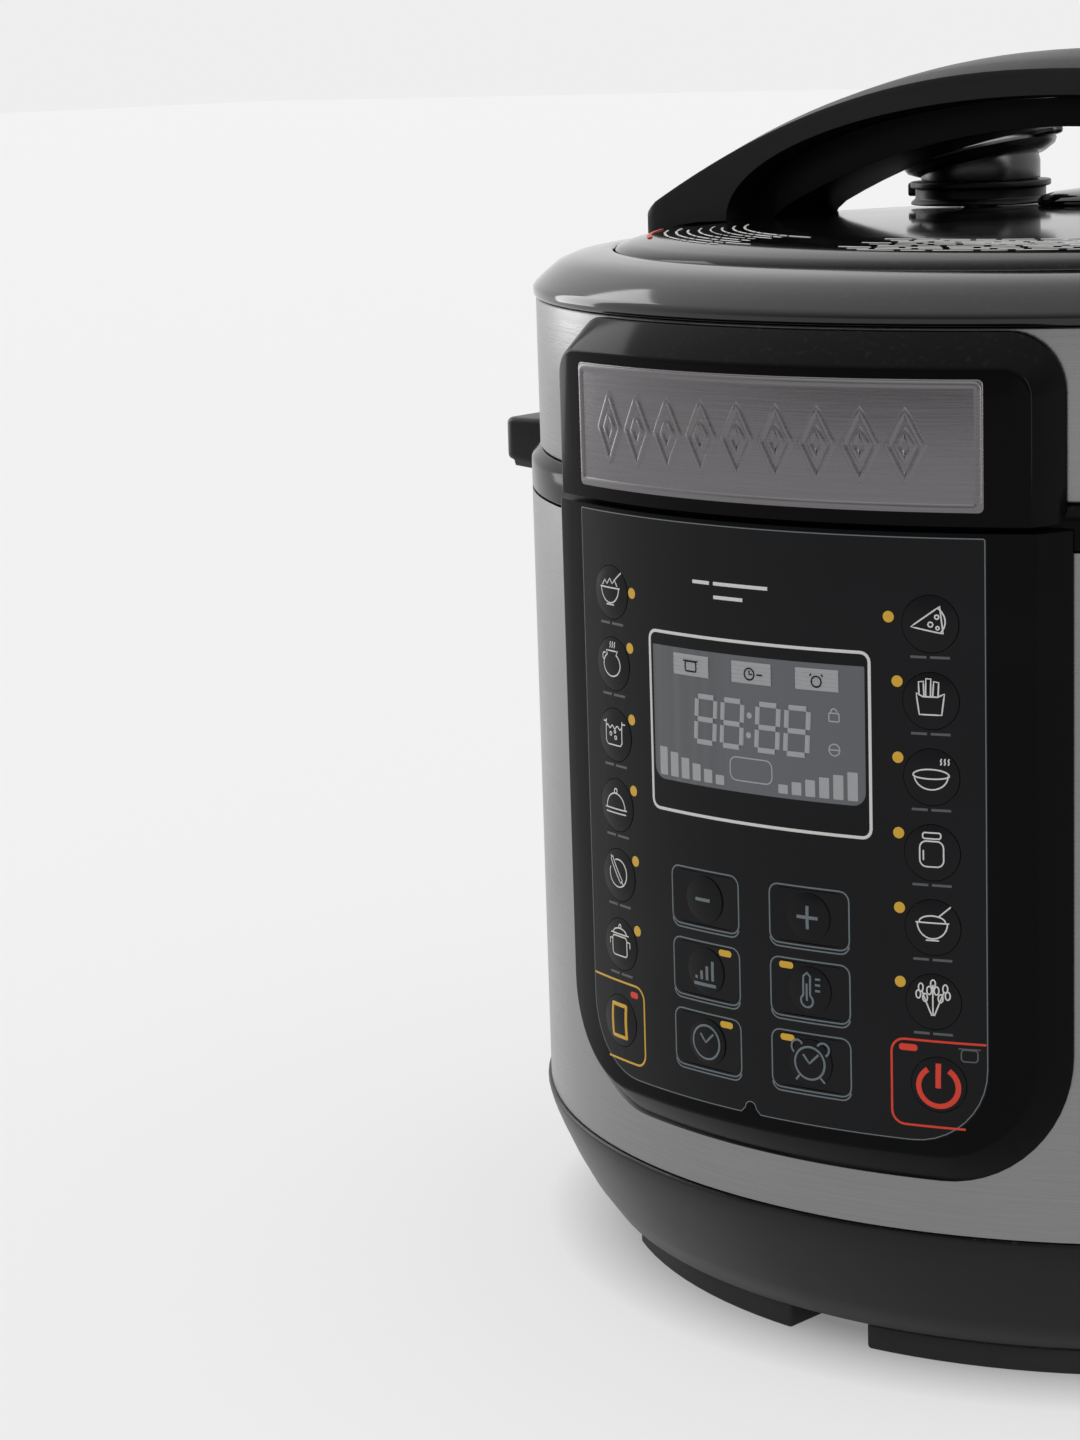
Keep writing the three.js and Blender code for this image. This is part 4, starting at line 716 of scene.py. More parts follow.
def command_marks(name):
    """Line drawing and line width for each command key in the middle."""
    clock = [(-1.6, 1.9), (0, 0), (2.2, 2.2)]
    return {
        "minus_button": ([[(-2.1, 0), (2.1, 0)]], 0.75),
        "plus_button": ([[(-2.6, 0), (2.6, 0)], [(0, -2.6), (0, 2.6)]], 0.75),
        "pressure_button": ([*[[(x, -1.9), (x, h)] for x,
                               h in [(-2.4, -1.2), (-0.8, 0.1), (0.8, 1.3), (2.4, 2.6)]],
                             [(-3.2, -3.1), (3.2, -3.1)]], 0.8),
        "temperature_button": ([[*arc(-0.4, -2.3, 1.5, 1.5, 125, 415, 14), (0.45, 3.2), (-0.4, 4.0),
                                 (-1.25, 3.2),
                                 (-1.25, -1.1)], [(-0.4, -2.3), (-0.4, 1.6)],
                                *[[(1.7, z), (2.9, z)] for z in (0.2, 1.5, 2.8)]], 0.5),
        "clock_button": ([ring(0, 0, 3.9, 26), clock], 0.5),
        "timer_button": ([ring(0, 0, 3.7, 26), clock, arc(-3.2, 3.4, 1.5, 1.5, 30, 240, 8),
                          arc(3.2, 3.4, 1.5, 1.5, -60, 150, 8), [(-2.6, -3.0), (-3.6, -4.2)],
                          [(2.6, -3.0), (3.6, -4.2)]], 0.5),
    }[name]


def pill(x, z, wide, tall):
    return frame_line(x - wide / 2, z - tall / 2, x + wide / 2, z + tall / 2, tall * 0.45)


# ---- Shapes that more than one operator needs ---------------------------------------------
DOME_RADIUS = 6.1                # raised dome of a key
DOME_HEIGHT = 0.5
KEY_BACK = 141.3                 # radius of the keys' inner ends
FILM_PROUD = 0.05                # film over the bezel's face
PROGRAMME_ANGLE = 16.8           # degrees from the panel's middle line to each column of keys
COMMAND_ANGLE = 17.2
CENTRE_ANGLE = 5.5
COMMAND_HEIGHT = 74.4            # middle of the cancel and power keys
BEZEL_HALF_ANGLE = 28.4          # degrees from the middle line to each block's or film's edge
FILM_HALF_ANGLE = 21.5
BADGE_HALF_ANGLE = 27.8
NAMEPLATE_HALF_ANGLE = 21.3
LUG_COUNT = 6
LUG_HALF_ANGLE = 12
CENTRE_KEY = (18.4, 11.8, 2.4)   # width, height and corner
LCD_FRAME = (29.5, 127.7, 168.0)  # half width, bottom and top
LCD_FACE = (28.4, 134.6, 165.0)
SEAM_CENTRE = 250.1              # height that the handle's seam rises from
SEAM_REACH = 94.0                # half length of the seam
SEAM_RISE = 29.8
HANDLE_REACH = 118.0             # half length of the handle
HANDLE_FOOT = 246.0              # height where the handle's lower part meets the lid
FACE_EDGE = 287.5                # height of the handle's upper edges in the middle
VALVE_AT = (-63.0, 47.0)         # places in plan
FLOAT_AT = (-25.0, 50.0)
CENTRE_NAMES = ("minus_button", "plus_button", "pressure_button", "temperature_button", "clock_button",
                "timer_button")


def key_places():
    """Each key's name, angle and height, from its CAD node."""
    places = []
    for node in sorted(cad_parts):
        if not node.endswith("_button") and "programme_button" not in node:
            continue
        near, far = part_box(node)
        middle = (near + far) / 2
        if "programme" in node:
            angle = PROGRAMME_ANGLE
        elif node in CENTRE_NAMES:
            angle = CENTRE_ANGLE
        else:
            angle = COMMAND_ANGLE
        places.append((node, math.copysign(angle, middle.x), middle.z / MM))
    return places


def round_plunger(name, radius, inner, outer):
    """A short round bar along Y at the panel's middle line, left as an object."""
    fresh()
    bpy.ops.mesh.primitive_cylinder_add(vertices=40, radius=radius * MM, depth=(outer - inner) * MM,
                                        location=(0, -(inner + outer) / 2 * MM, 0),
                                        rotation=(math.pi / 2, 0, 0))
    bpy.ops.object.transform_apply(location=True, rotation=True)
    piece = bpy.context.object
    piece.name = name
    return piece


def moved(piece, x=0, y=0, z=0):
    piece.data.transform(Matrix.Translation((x * MM, y * MM, z * MM)))
    return piece


def key_shape(node, grow, inner, outer):
    """A key's own outline at the panel's middle line, grown all round."""
    if node in CENTRE_NAMES:
        wide, tall, corner = CENTRE_KEY
        outline = rounded(wide / 2 + grow, -tall / 2 - grow, tall / 2 + grow, corner + grow, corner + grow, 4)
        return bent(slab(node, outline, -outer, -inner), outer)
    return round_plunger(node, DOME_RADIUS + grow, inner, outer)


def key_cutter():
    """All key holes as one tool."""
    radius = sizes().panel_radius
    tools = []
    for node, angle, z in key_places():
        tool = key_shape(node, 0.15, KEY_BACK - 2, radius + 5)
        tools.append(turned(moved(tool, z=z), angle))
    return joined("key_holes", *tools)


def panel_block(name, outline, root, face, slope, cut):
    """A raised block on the round body: outline at its foot, sides sloping in to its face."""
    piece = block(name, outline, -face, -root)
    chosen(piece)
    bpy.ops.object.mode_set(mode="EDIT")
    bpy.ops.mesh.select_all(action="DESELECT")
    bpy.ops.object.mode_set(mode="OBJECT")
    for polygon in piece.data.polygons:
        polygon.select = polygon.normal.y < -0.9
    bpy.ops.object.mode_set(mode="EDIT")
    bpy.ops.mesh.inset(thickness=slope * MM, depth=0)
    bpy.ops.object.mode_set(mode="OBJECT")
    front = {index for polygon in piece.data.polygons if polygon.select for index in polygon.vertices}
    for vertex in piece.data.vertices:
        if vertex.co.y < -(face - 0.1) * MM and vertex.index not in front:
            vertex.co.y = -(root + 1.2) * MM
    softened(piece, 2.4, 5, 20)
    bpy.ops.object.mode_set(mode="EDIT")
    for value, keep_above in cut:
        trimmed(2, value, keep_above)
    xs = [x for x, z in outline]
    sliced(min(xs), max(xs))
    outward()
    return bent(piece, face)


def seam_height(x, inset=0.0):
    """Height of the seam between the handle's cover and its lower part."""
    reach = SEAM_REACH - inset
    return SEAM_CENTRE + (SEAM_RISE - inset) * math.sqrt(max(0.0, 1 - (x / reach) ** 2))


def edge_height(x):
    return FACE_EDGE - 33.4 * (abs(x) / HANDLE_REACH) ** 2.25


def half_depth(x):
    return 22 + 6 * (abs(x) / HANDLE_REACH) ** 3


def plate_height(x, y):
    """Height just under the lid's top surface at a place in plan."""
    r = math.hypot(x, y)
    crown = sizes().plate_crown
    shape = [(0, 0), (40, 0.2), (80, 0.9), (108, 2.0), (113.6, 3.2), (118.2, 4.9), (121, 5.1), (125, 5.6),
             (128.5, 6.2), (131.9, 7.5), (135, 9.8), (139, 13)]
    for (r0, d0), (r1, d1) in zip(shape, shape[1:]):
        if r <= r1:
            return crown - (d0 + (d1 - d0) * (r - r0) / (r1 - r0)) - 0.15
    return crown - 13


def locking_lugs(name, outer, inner, heights, edge, first):
    """The lugs that stand round the lid or the outer pot, evenly spaced from a first angle."""
    half = arc_length(LUG_HALF_ANGLE, outer)
    lug = curved_slab(name, half, rounded(half, *heights, 0, 0), -outer, -inner, outer, LUG_STRIP_WIDTH)
    softened(lug, edge, 3, 40)
    lugs = [turned(copied(lug, f"{name}_{i}"), 360 // LUG_COUNT * i + first) for i in range(LUG_COUNT)]
    bpy.data.objects.remove(lug)
    return lugs


# ---- Operators: body ----------------------------------------------------------------------
class COOKER_OT_base_housing(bpy.types.Operator):
    """Moulded bowl that closes the body from below"""
    bl_idname = "cooker.base_housing"
    bl_label = "Base housing"

    def execute(self, context):
        rim = sizes().shell_radius + 0.9
        piece = lathe("base_housing_smooth", [
            (0, 6.5), (rim - 18.4, 6.5), (rim - 14.4, 8.4), (rim - 9.6, 15.2), (rim - 5.8, 22.3),
            (rim - 2.7, 29.2),
            (rim - 0.9, 33.7), (rim, 37.0), (rim - 0.4, 37.7), (138.7, 37.7), (138.7, 46), (136.7, 46),
            (136.7, 33.3),
            (128.5, 15.5), (122.5, 9.3), (0, 9.3)])
        done(softened(piece, 0.5, 2, 40), "base", "Satin plastic", ["base_housing"], 40)
        return {"FINISHED"}


class COOKER_OT_feet(bpy.types.Operator):
    """Four curved rubber feet under the base"""
    bl_idname = "cooker.feet"
    bl_label = "Feet"

    def execute(self, context):
        radius = 121.5
        half = arc_length(16.5, radius)
        foot = curved_slab("foot", half, rounded(half, 0, 6.2, 1.0, 0, 4), -radius, 13.5 - radius, radius, 6)
        first = softened(foot, 0.8, 3, 40)
        for name, angle in [("front_left", -21.5), ("front_right", 21.5), ("back_left", 201.5),
                            ("back_right", 158.5)]:
            piece = turned(copied(first, f"foot_{name}_smooth"), angle)
            done(piece, "base", "Rubber", [f"foot_{name}"])
        bpy.data.objects.remove(first)
        return {"FINISHED"}


class COOKER_OT_outer_shell(bpy.types.Operator):
    """Brushed steel tube with openings for the inlet and the condensate cup"""
    bl_idname = "cooker.outer_shell"
    bl_label = "Outer shell"

    def execute(self, context):
        s = sizes()
        piece = lathe("outer_shell_smooth", [
            (s.shell_radius, s.shell_bottom), (s.shell_radius, s.shell_top),
            (s.shell_radius - 1, s.shell_top),
            (s.shell_radius - 1, s.shell_bottom)], 160)
        inlet = block("inlet_window", rounded(17.3, 49.7, 78.3, 2, 2, 3), 100, 150)
        bracket = block("bracket_window", rounded(33.1, 143.8, 180.2, 2, 2, 3), 100, 150)
        carved(carved(piece, inlet), bracket)
        done(piece, "base", "Brushed shell", ["outer_shell"], 30)
        return {"FINISHED"}


class COOKER_OT_body_top_ring(bpy.types.Operator):
    """Gloss ring with a drip moat round the top of the body"""
    bl_idname = "cooker.body_top_ring"
    bl_label = "Body top ring"

    def execute(self, context):
        outer = sizes().shell_radius
        piece = lathe("body_top_ring_smooth", [
            (outer, 189.3), (outer, 196.6), (outer - 2.2, 199), (134.5, 199), (133.5, 193.4), (130.5, 193.4),
            (129.5, 199), (126.8, 199), (126.8, 189.3), (136.7, 189.3), (136.7, 182), (138.7, 182),
            (138.7, 189.3)])
        done(softened(piece, 0.6, 3), "base", "Gloss plastic", ["body_top_ring"])
        return {"FINISHED"}


class COOKER_OT_side_handles(bpy.types.Operator):
    """Two ledges to lift the body by"""
    bl_idname = "cooker.side_handles"
    bl_label = "Side handles"

    def execute(self, context):
        reach = 164.5
        corner = 4
        outline = [(139.2, -34), (reach - corner, -34),
                   *arc(reach - corner, -34 + corner, corner, corner, -90, 0, 8)[1:],
                   *arc(reach - corner, 34 - corner, corner, corner, 0, 90, 8), (139.2, 34)]
        piece = plank("side_handle", outline, 197.5, 11.5)
        for vertex in piece.data.vertices:
            if vertex.co.z < 0.19 and vertex.co.x < 0.15:
                vertex.co.z = 0.182
            if vertex.co.x < 0.14:
                vertex.co.x = math.sqrt(0.1399 ** 2 - vertex.co.y ** 2)
        softened(piece, 1.6, 4, 25)
        left = turned(copied(piece, "side_handle_left_smooth"), 180)
        piece.name = "side_handle_right_smooth"
        done(piece, "base", "Satin plastic", ["side_handle_right"])
        done(left, "base", "Satin plastic", ["side_handle_left"])
        return {"FINISHED"}


# ---- Operators: control panel -------------------------------------------------------------
class COOKER_OT_panel_bezel(bpy.types.Operator):
    """Gloss frame round the control panel, sloping down to the shell"""
    bl_idname = "cooker.panel_bezel"
    bl_label = "Panel bezel"

    def execute(self, context):
        face = sizes().panel_radius
        half = arc_length(BEZEL_HALF_ANGLE, face)
        piece = panel_block("panel_bezel_smooth", rounded(half, 50.5, 206, 30, 0, 14), 140.3, face - 0.05,
                            7.6,
                            [(194, False)])
        carved(piece, key_cutter())
        done(piece, "base", "Gloss plastic", ["panel_bezel"], 30)
        return {"FINISHED"}


class COOKER_OT_panel_film(bpy.types.Operator):
    """Printed film over the keys, with its pale edge line"""
    bl_idname = "cooker.panel_film"
    bl_label = "Panel film"

    def execute(self, context):
        face = sizes().panel_radius
        half = arc_length(FILM_HALF_ANGLE, face)
        outline = rounded(half, 61.2, 193.2, 17, 0.5, 10)
        notch = [(-4.6, 61.2), (-3.4, 62.4), *arc(-1.9, 62.4, 1.5, 1.5, 180, 0, 8), (-0.4, 62.4), (0.8, 61.2)]
        slab("panel_film_smooth", [*notch, *outline], -(face + FILM_PROUD), -(face - 0.75))
        sliced(-half, half)
        outward()
        piece = bent(bpy.context.object, face)
        carved(piece, key_cutter())
        done(piece, "base", "Panel film", ["panel_film"], 30)
        line = [(x * 0.994, z + 0.25 if z < 120 else z - 0.25) for x, z in [*notch, *outline]]
        line = laid(printed("panel_edge_line", [[*line, line[0]]], 0.22), 0, 0, face + FILM_PROUD)
        done(line, "base", "Grey ink")
        return {"FINISHED"}


class COOKER_OT_display(bpy.types.Operator):
    """Display window, its unlit ground and its figures"""
    bl_idname = "cooker.display"
    bl_label = "Display"

    def execute(self, context):
        face = sizes().panel_radius + FILM_PROUD
        half, bottom, top = LCD_FRAME
        lens = curved_slab("display_lens_smooth", half, rounded(half, bottom, top, 2, 2, 5),
                           -(face + 0.06), -(face - 0.4), face)
        done(lens, "base", "Panel film", ["display_lens"])
        outline = laid(printed("display_outline", [frame_line(-half, bottom, half, top, 2)], 0.7), 0, 0,
                       face + 0.06)
        done(outline, "base", "White ink")
        half, bottom, top = LCD_FACE
        ground = curved_slab("display_face", half, rounded(half, bottom, top, 3, 0.3, 5),
                             -(face + 0.12), -(face - 0.2), face)
        done(ground, "base", "Display", ["lcd_module"])
        self.figures(face + 0.12)
        return {"FINISHED"}

    def figures(self, face):
        """Lit figures: four digits, three boxes, level bars and small signs."""
        digits = []
        for x in (-15.4, -7.9, 1.6, 9.1):
            for x0, z0, x1, z1 in [(0.5, 0, 4.9, 0), (0.5, 5.1, 4.9, 5.1), (0.5, 10.2, 4.9, 10.2),
                                   (0, 0.6, 0, 4.5),
                                   (5.4, 0.6, 5.4, 4.5), (0, 5.7, 0, 9.6), (5.4, 5.7, 5.4, 9.6)]:
                slant = 0.06
                digits.append([(x + x0 + slant * z0, 144.6 + z0), (x + x1 + slant * z1, 144.6 + z1)])
        colon = [ring(-0.4, 147.6, 0.7, 10), ring(-0.1, 152.0, 0.7, 10)]
        boxes = [[(x - 5.2, z), (x + 5.2, z)] for x in (-16.4, 0.6, 17.2)
                 for z in (159.6, 160.5, 161.4, 162.3, 163.2)]
        bars = [frame_line(x0, 135.6, x0 + 2.4, 135.6 + h, 0.2) for x0, h in
                [(-26.8 + 3.4 * i, 6.4 - 0.85 * i) for i in range(6)] + [(7.2 + 3.4 * i, 2.0 + 0.85 * i)
                                                                         for i in range(6)]]
        thin = [frame_line(-5.6, 137.2, 5.6, 142.4, 1.6), frame_line(20.0, 152.6, 22.4, 154.4, 0.2),
                arc(21.2, 154.4, 0.8, 1.0, 0, 180, 8), ring(21.2, 146.4, 1.3, 12),
                [(20.0, 146.4), (22.4, 146.4)]]
        lit = printed("display_digits", [*digits, *boxes], 1.15, [*colon, *bars])
        done(laid(lit, 0, 0, face), "base", "Display segments")
        done(laid(printed("display_signs", thin, 0.3), 0, 0, face), "base", "Display segments")
        dark = [frame_line(-18.0, 160.1, -14.8, 162.3, 0.4), [(-18.6, 162.4), (-14.2, 162.4)],
                ring(0.2, 161.2, 1.3, 12), [(0.2, 162.0), (0.2, 161.2), (1.0, 161.2)],
                [(2.2, 161.2), (3.6, 161.2)],
                ring(17.2, 161.0, 1.2, 12), [(16.0, 162.6), (15.6, 162.2)], [(18.4, 162.6), (18.8, 162.2)]]
        done(laid(printed("display_box_signs", dark, 0.34), 0, 0, face + 0.22), "base", "Panel film")


class COOKER_OT_keys(bpy.types.Operator):
    """Twenty film keys with raised domes, each on its own body"""
    bl_idname = "cooker.keys"
    bl_label = "Keys"

    def execute(self, context):
        face = sizes().panel_radius + FILM_PROUD
        for node, angle, z in key_places():
            if node in CENTRE_NAMES:
                piece = key_shape(node, 0, KEY_BACK, face)
                piece = joined(node, piece, self.dome(node, face - 0.3, face, DOME_RADIUS - 0.8))
            else:
                piece = self.dome(node, KEY_BACK, face, DOME_RADIUS)
            piece.name = f"{node}_smooth"
            done(turned(moved(piece, z=z), angle), node, "Panel film", [node], 40)
        return {"FINISHED"}

    def dome(self, name, root, face, radius):
        """A low dome on a short round stem, its axis along the panel's middle line."""
        profile = [(0, root), (radius, root), (radius, face)]
        profile += [(radius * (1 - i / 8), face + DOME_HEIGHT * (1 - (1 - i / 8) ** 2)) for i in range(1, 9)]
        return turned(lathe(name, profile, 40), 90, "X")


class COOKER_OT_key_marks(bpy.types.Operator):
    """Printed drawings on the keys and the print around them"""
    bl_idname = "cooker.key_marks"
    bl_label = "Key marks"

    def execute(self, context):
        face = sizes().panel_radius + FILM_PROUD
        dots, dim = [], []
        for node, angle, z in key_places():
            if node in CENTRE_NAMES:
                lines, width = command_marks(node)
                mark = printed(f"{node}_mark", lines, width)
                done(laid(mark, angle, z, face, dome_rise), node, "Grey ink")
            elif "programme" in node:
                side, row = node.split("_")[2:]
                mark = printed(f"{node}_mark", programme_marks(side, int(row)), 0.36)
                mark.data.transform(Matrix.Translation((0, 0.8 * MM, 0)) @ Matrix.Scale(0.9, 4))
                done(laid(mark, angle, z, face, dome_rise), node, "White ink")
                x = arc_length(angle, face)
                aside = {("left", True): (7.6, 0.6), ("left", False): (6.4, 4.4),
                         ("right", True): (-9.2, 1.2),
                         ("right", False): (-7.4, 3.9)}[side, row == "1"]
                dots.append(ring(x + aside[0], z + aside[1], 1.25, 14))
                dim += [[(x - 4.4, z - 7.1), (x - 0.9, z - 7.1)], [(x - 0.1, z - 7.1), (x + 4.2, z - 7.1)]]
        for mark, ink in [(printed("programme_dots", pads=dots), "Amber ink"),
                          (printed("small_print", dim, 0.55), "Dim ink")]:
            done(laid(mark, 0, 0, face), "base", ink)
        self.command_print(face)
        return {"FINISHED"}

    def command_print(self, face):
        """Outlines and pills round the command keys, and the marks on cancel and power."""
        outlines, pills = [], []
        for node, angle, z in key_places():
            x = arc_length(angle, face)
            if node in CENTRE_NAMES:
                outlines.append(frame_line(x - 9.9, z - 6.6, x + 9.9, z + 6.6, 2.2))
                outlines.append([*arc(x - 7.7, z - 5.2, 2.2, 2.2, 190, 270, 6),
                                 *arc(x + 7.7, z - 5.2, 2.2, 2.2, 270, 350, 6)])
                if node not in CENTRE_NAMES[:2]:
                    pills.append(pill(x + math.copysign(5.8, -x), z + 5.0, 3.6, 1.5))
        half = arc_length(FILM_HALF_ANGLE, face) - 0.6
        cancel_x = arc_length(-COMMAND_ANGLE, face)
        power_x = arc_length(COMMAND_ANGLE, face)
        z = COMMAND_HEIGHT
        cancel = [(-half, z + 9.4), (cancel_x + 6.2, z + 9.4), *arc(cancel_x + 6.2, z + 6.4, 3, 3, 90, 0, 6),
                  *arc(cancel_x + 6.2, z - 6.4, 3, 3, 0, -90, 6), (-half + 5.4, z - 9.4)]
        power = [(half, z + 9.6), (power_x - 7.6, z + 9.6), *arc(power_x - 7.6, z + 6.6, 3, 3, 90, 180, 6),
                 *arc(power_x - 7.6, z - 6.6, 3, 3, 180, 270, 6), (half - 4.6, z - 9.6)]
        bases = [(printed("key_outlines", outlines, 0.34), "Grey ink"),
                 (printed("key_pills", pads=pills), "Amber ink"),
                 (printed("cancel_outline", [cancel], 0.5), "Amber ink"),
                 (printed("power_outline", [power], 0.5), "Red ink"),
                 (printed("red_pills", pads=[pill(cancel_x + 5.6, z + 7.2, 2.8, 1.5),
                                             pill(power_x - 6.8, z + 7.8, 4.2, 1.5)]), "Red ink"),
                 (printed("pot_sign", [frame_line(power_x + 5.0, z + 5.6, power_x + 8.6, z + 8.2, 0.7),
                                       [(power_x + 4.4, z + 8.4), (power_x + 9.2, z + 8.4)]], 0.3),
                                       "Dim ink"),
                 (printed("panel_heading", [[(-15.4, 180.2), (-10.6, 180.2)], [(-9.4, 180.2), (5.2, 180.2)],
                                            [(-9.4, 177.2), (-1.4, 177.2)]], 0.8), "White ink")]
        for mark, ink in bases:
            done(laid(mark, 0, 0, face), "base", ink)
        stop = printed("cancel_button_mark", [frame_line(-2.6, -3.8, 2.6, 3.8, 0.2)], 0.9)
        done(laid(stop, -COMMAND_ANGLE, z, face, dome_rise), "cancel_button", "Amber ink")
        ring_mark = printed("power_button_mark",
                            [arc(0, -0.4, 4.4, 4.4, 122, 418, 26), [(0, -0.6), (0, 4.8)]], 1.2)
        done(laid(ring_mark, COMMAND_ANGLE, z, face, dome_rise), "power_button", "Red ink")


class COOKER_OT_lid_badge(bpy.types.Operator):
    """Gloss block on the lid's front with its embossed steel nameplate"""
    bl_idname = "cooker.lid_badge"
    bl_label = "Lid badge"

    def execute(self, context):
        face = sizes().panel_radius
        half = arc_length(BADGE_HALF_ANGLE, face)
        piece = panel_block("nameplate_bezel_smooth", rounded(half, 183, 235.2, 0, 13, 10), 138.0,
                            face - 0.05, 7.0,
                            [(195.4, True)])
        done(piece, "lid", "Gloss plastic", ["nameplate_bezel"], 30)
        half = arc_length(NAMEPLATE_HALF_ANGLE, face)
        plate = curved_slab("nameplate_smooth", half, rounded(half, 198.2, 226.0, 1.2, 1.2, 4),
                            -(face + 0.1), -(face - 0.9), face)
        plate = softened(plate, 0.35, 3, 40)
        rim = frame_line(-half + 1.2, 199.4, half - 1.2, 224.8, 1.0)
        relief = [rim] + [[(x - 3.9, 212.1), (x, 219.6), (x + 3.9, 212.1), (x, 204.6), (x - 3.9, 212.1)]
                          for x in range(-42, 40, 10)]
        relief += [[(x - 1.7, 212.1), (x, 215.4), (x + 1.7, 212.1), (x, 208.8), (x - 1.7, 212.1)]
                   for x in range(-42, 40, 10)]
        relief = laid(printed("nameplate_relief", relief, 1.7), 0, 0, face + 0.02, None, 0.5)
        done(plate, "lid", "Nameplate steel", ["nameplate"])
        done(relief, "lid", "Nameplate steel", (), 60)
        return {"FINISHED"}


# ---- Operators: lid -----------------------------------------------------------------------
class COOKER_OT_lid_steel_band(bpy.types.Operator):
    """Brushed steel band round the lid with a rolled lower edge"""
    bl_idname = "cooker.lid_steel_band"
    bl_label = "Lid steel band"

    def execute(self, context):
        s = sizes()
        r = s.band_radius
        piece = lathe("lid_steel_band_smooth", [
            (r - 0.3, s.band_bottom), (r, s.band_bottom + 0.5), (r, s.band_top - 0.3), (r - 0.3, s.band_top),
            (r - 0.8, s.band_top), (r - 0.8, s.band_bottom)], 160)
        done(piece, "lid", "Brushed shell", ["lid_steel_band"])
        return {"FINISHED"}


class COOKER_OT_lid_outer_cover(bpy.types.Operator):
    """Gloss cover with its lip, rounded shoulder and the groove round the plate"""
    bl_idname = "cooker.lid_outer_cover"
    bl_label = "Lid outer cover"

    def execute(self, context):
        s = sizes()
        lip = s.cover_radius
        skirt = s.band_radius - 1.1
        piece = lathe("lid_outer_cover_smooth", [
            (0, 239.9), (skirt - 6, 239.9), (skirt - 2.3, 235.9), (skirt - 2.3, 223.6), (skirt, 223.6),
            (skirt, 235.9),
            (lip - 0.4, 235.9), (lip, 236.8), (lip, 238.3), (lip - 0.7, 239.2), (lip - 3.3, 241.6),
            (lip - 6.4, 243.9),
            (lip - 9.8, 245.2), (lip - 13.2, 245.8), (lip - 16.6, 246.2), (118.9, 246.5), (118.4, 246.1),
            (118.35, 243.1), (0, 243.1)])
        done(softened(piece, 0.35, 2, 38), "lid", "Gloss lid", ["lid_outer_cover"], 38)
        return {"FINISHED"}


class COOKER_OT_lid_dome_plate(bpy.types.Operator):
    """Gloss plate on top of the lid with its printed label"""
    bl_idname = "cooker.lid_dome_plate"
    bl_label = "Lid dome plate"

    def execute(self, context):
        crown = sizes().plate_crown
        piece = lathe("lid_dome_plate_smooth", [
            (0, crown - 2.6), (107.8, crown - 4.6), (110, 243.4), (117.5, 243.4), (117.8, 244.8),
            (117.9, 246.2),
            (117.2, 247.1), (113.6, crown - 3.2), (108.5, crown - 2.1), (95, crown - 1.3), (80, crown - 0.9),
            (60, crown - 0.5), (40, crown - 0.2), (20, crown - 0.05), (0, crown)])
        done(piece, "lid", "Gloss plate", ["lid_dome_plate"], 38)
        self.label()
        return {"FINISHED"}

    def label(self):
        """Rows of short greeked bars, and one red strip, laid on the plate."""
        white = []
        for start, end, first, rows in [(-62, -24, 86, 8), (-4, 62, 84, 9)]:
            for row in range(rows):
                radius = first + 2.8 * row
                angle = start + 2.5 * ((row * 7) % 3)
                while angle < end - 2 * (row % 2):
                    span = 2.2 + ((row * 5 + round(angle * 3)) % 5) * 0.9
                    white.append([(radius * math.sin(math.radians(a)), -radius * math.cos(math.radians(a)))
                                  for a in (angle, angle + span / 2, angle + span)])
                    angle += span + 1.0
        red = [[(109.5 * math.sin(math.radians(a)), -109.5 * math.cos(math.radians(a)))
                for a in range(-66, -46, 3)]]
        for name, lines, width, ink in [("lid_label", white, 0.62, "White ink"),
                                        ("lid_label_strip", red, 1.2, "Red ink")]:
            mark = printed(name, lines, width)
            for vertex in mark.data.vertices:
                rise = plate_height(vertex.co.x / MM, vertex.co.y / MM) + 0.28
                vertex.co.z = rise * MM + vertex.co.z * 0.3
            mark.data.update()
            done(mark, "lid", ink)


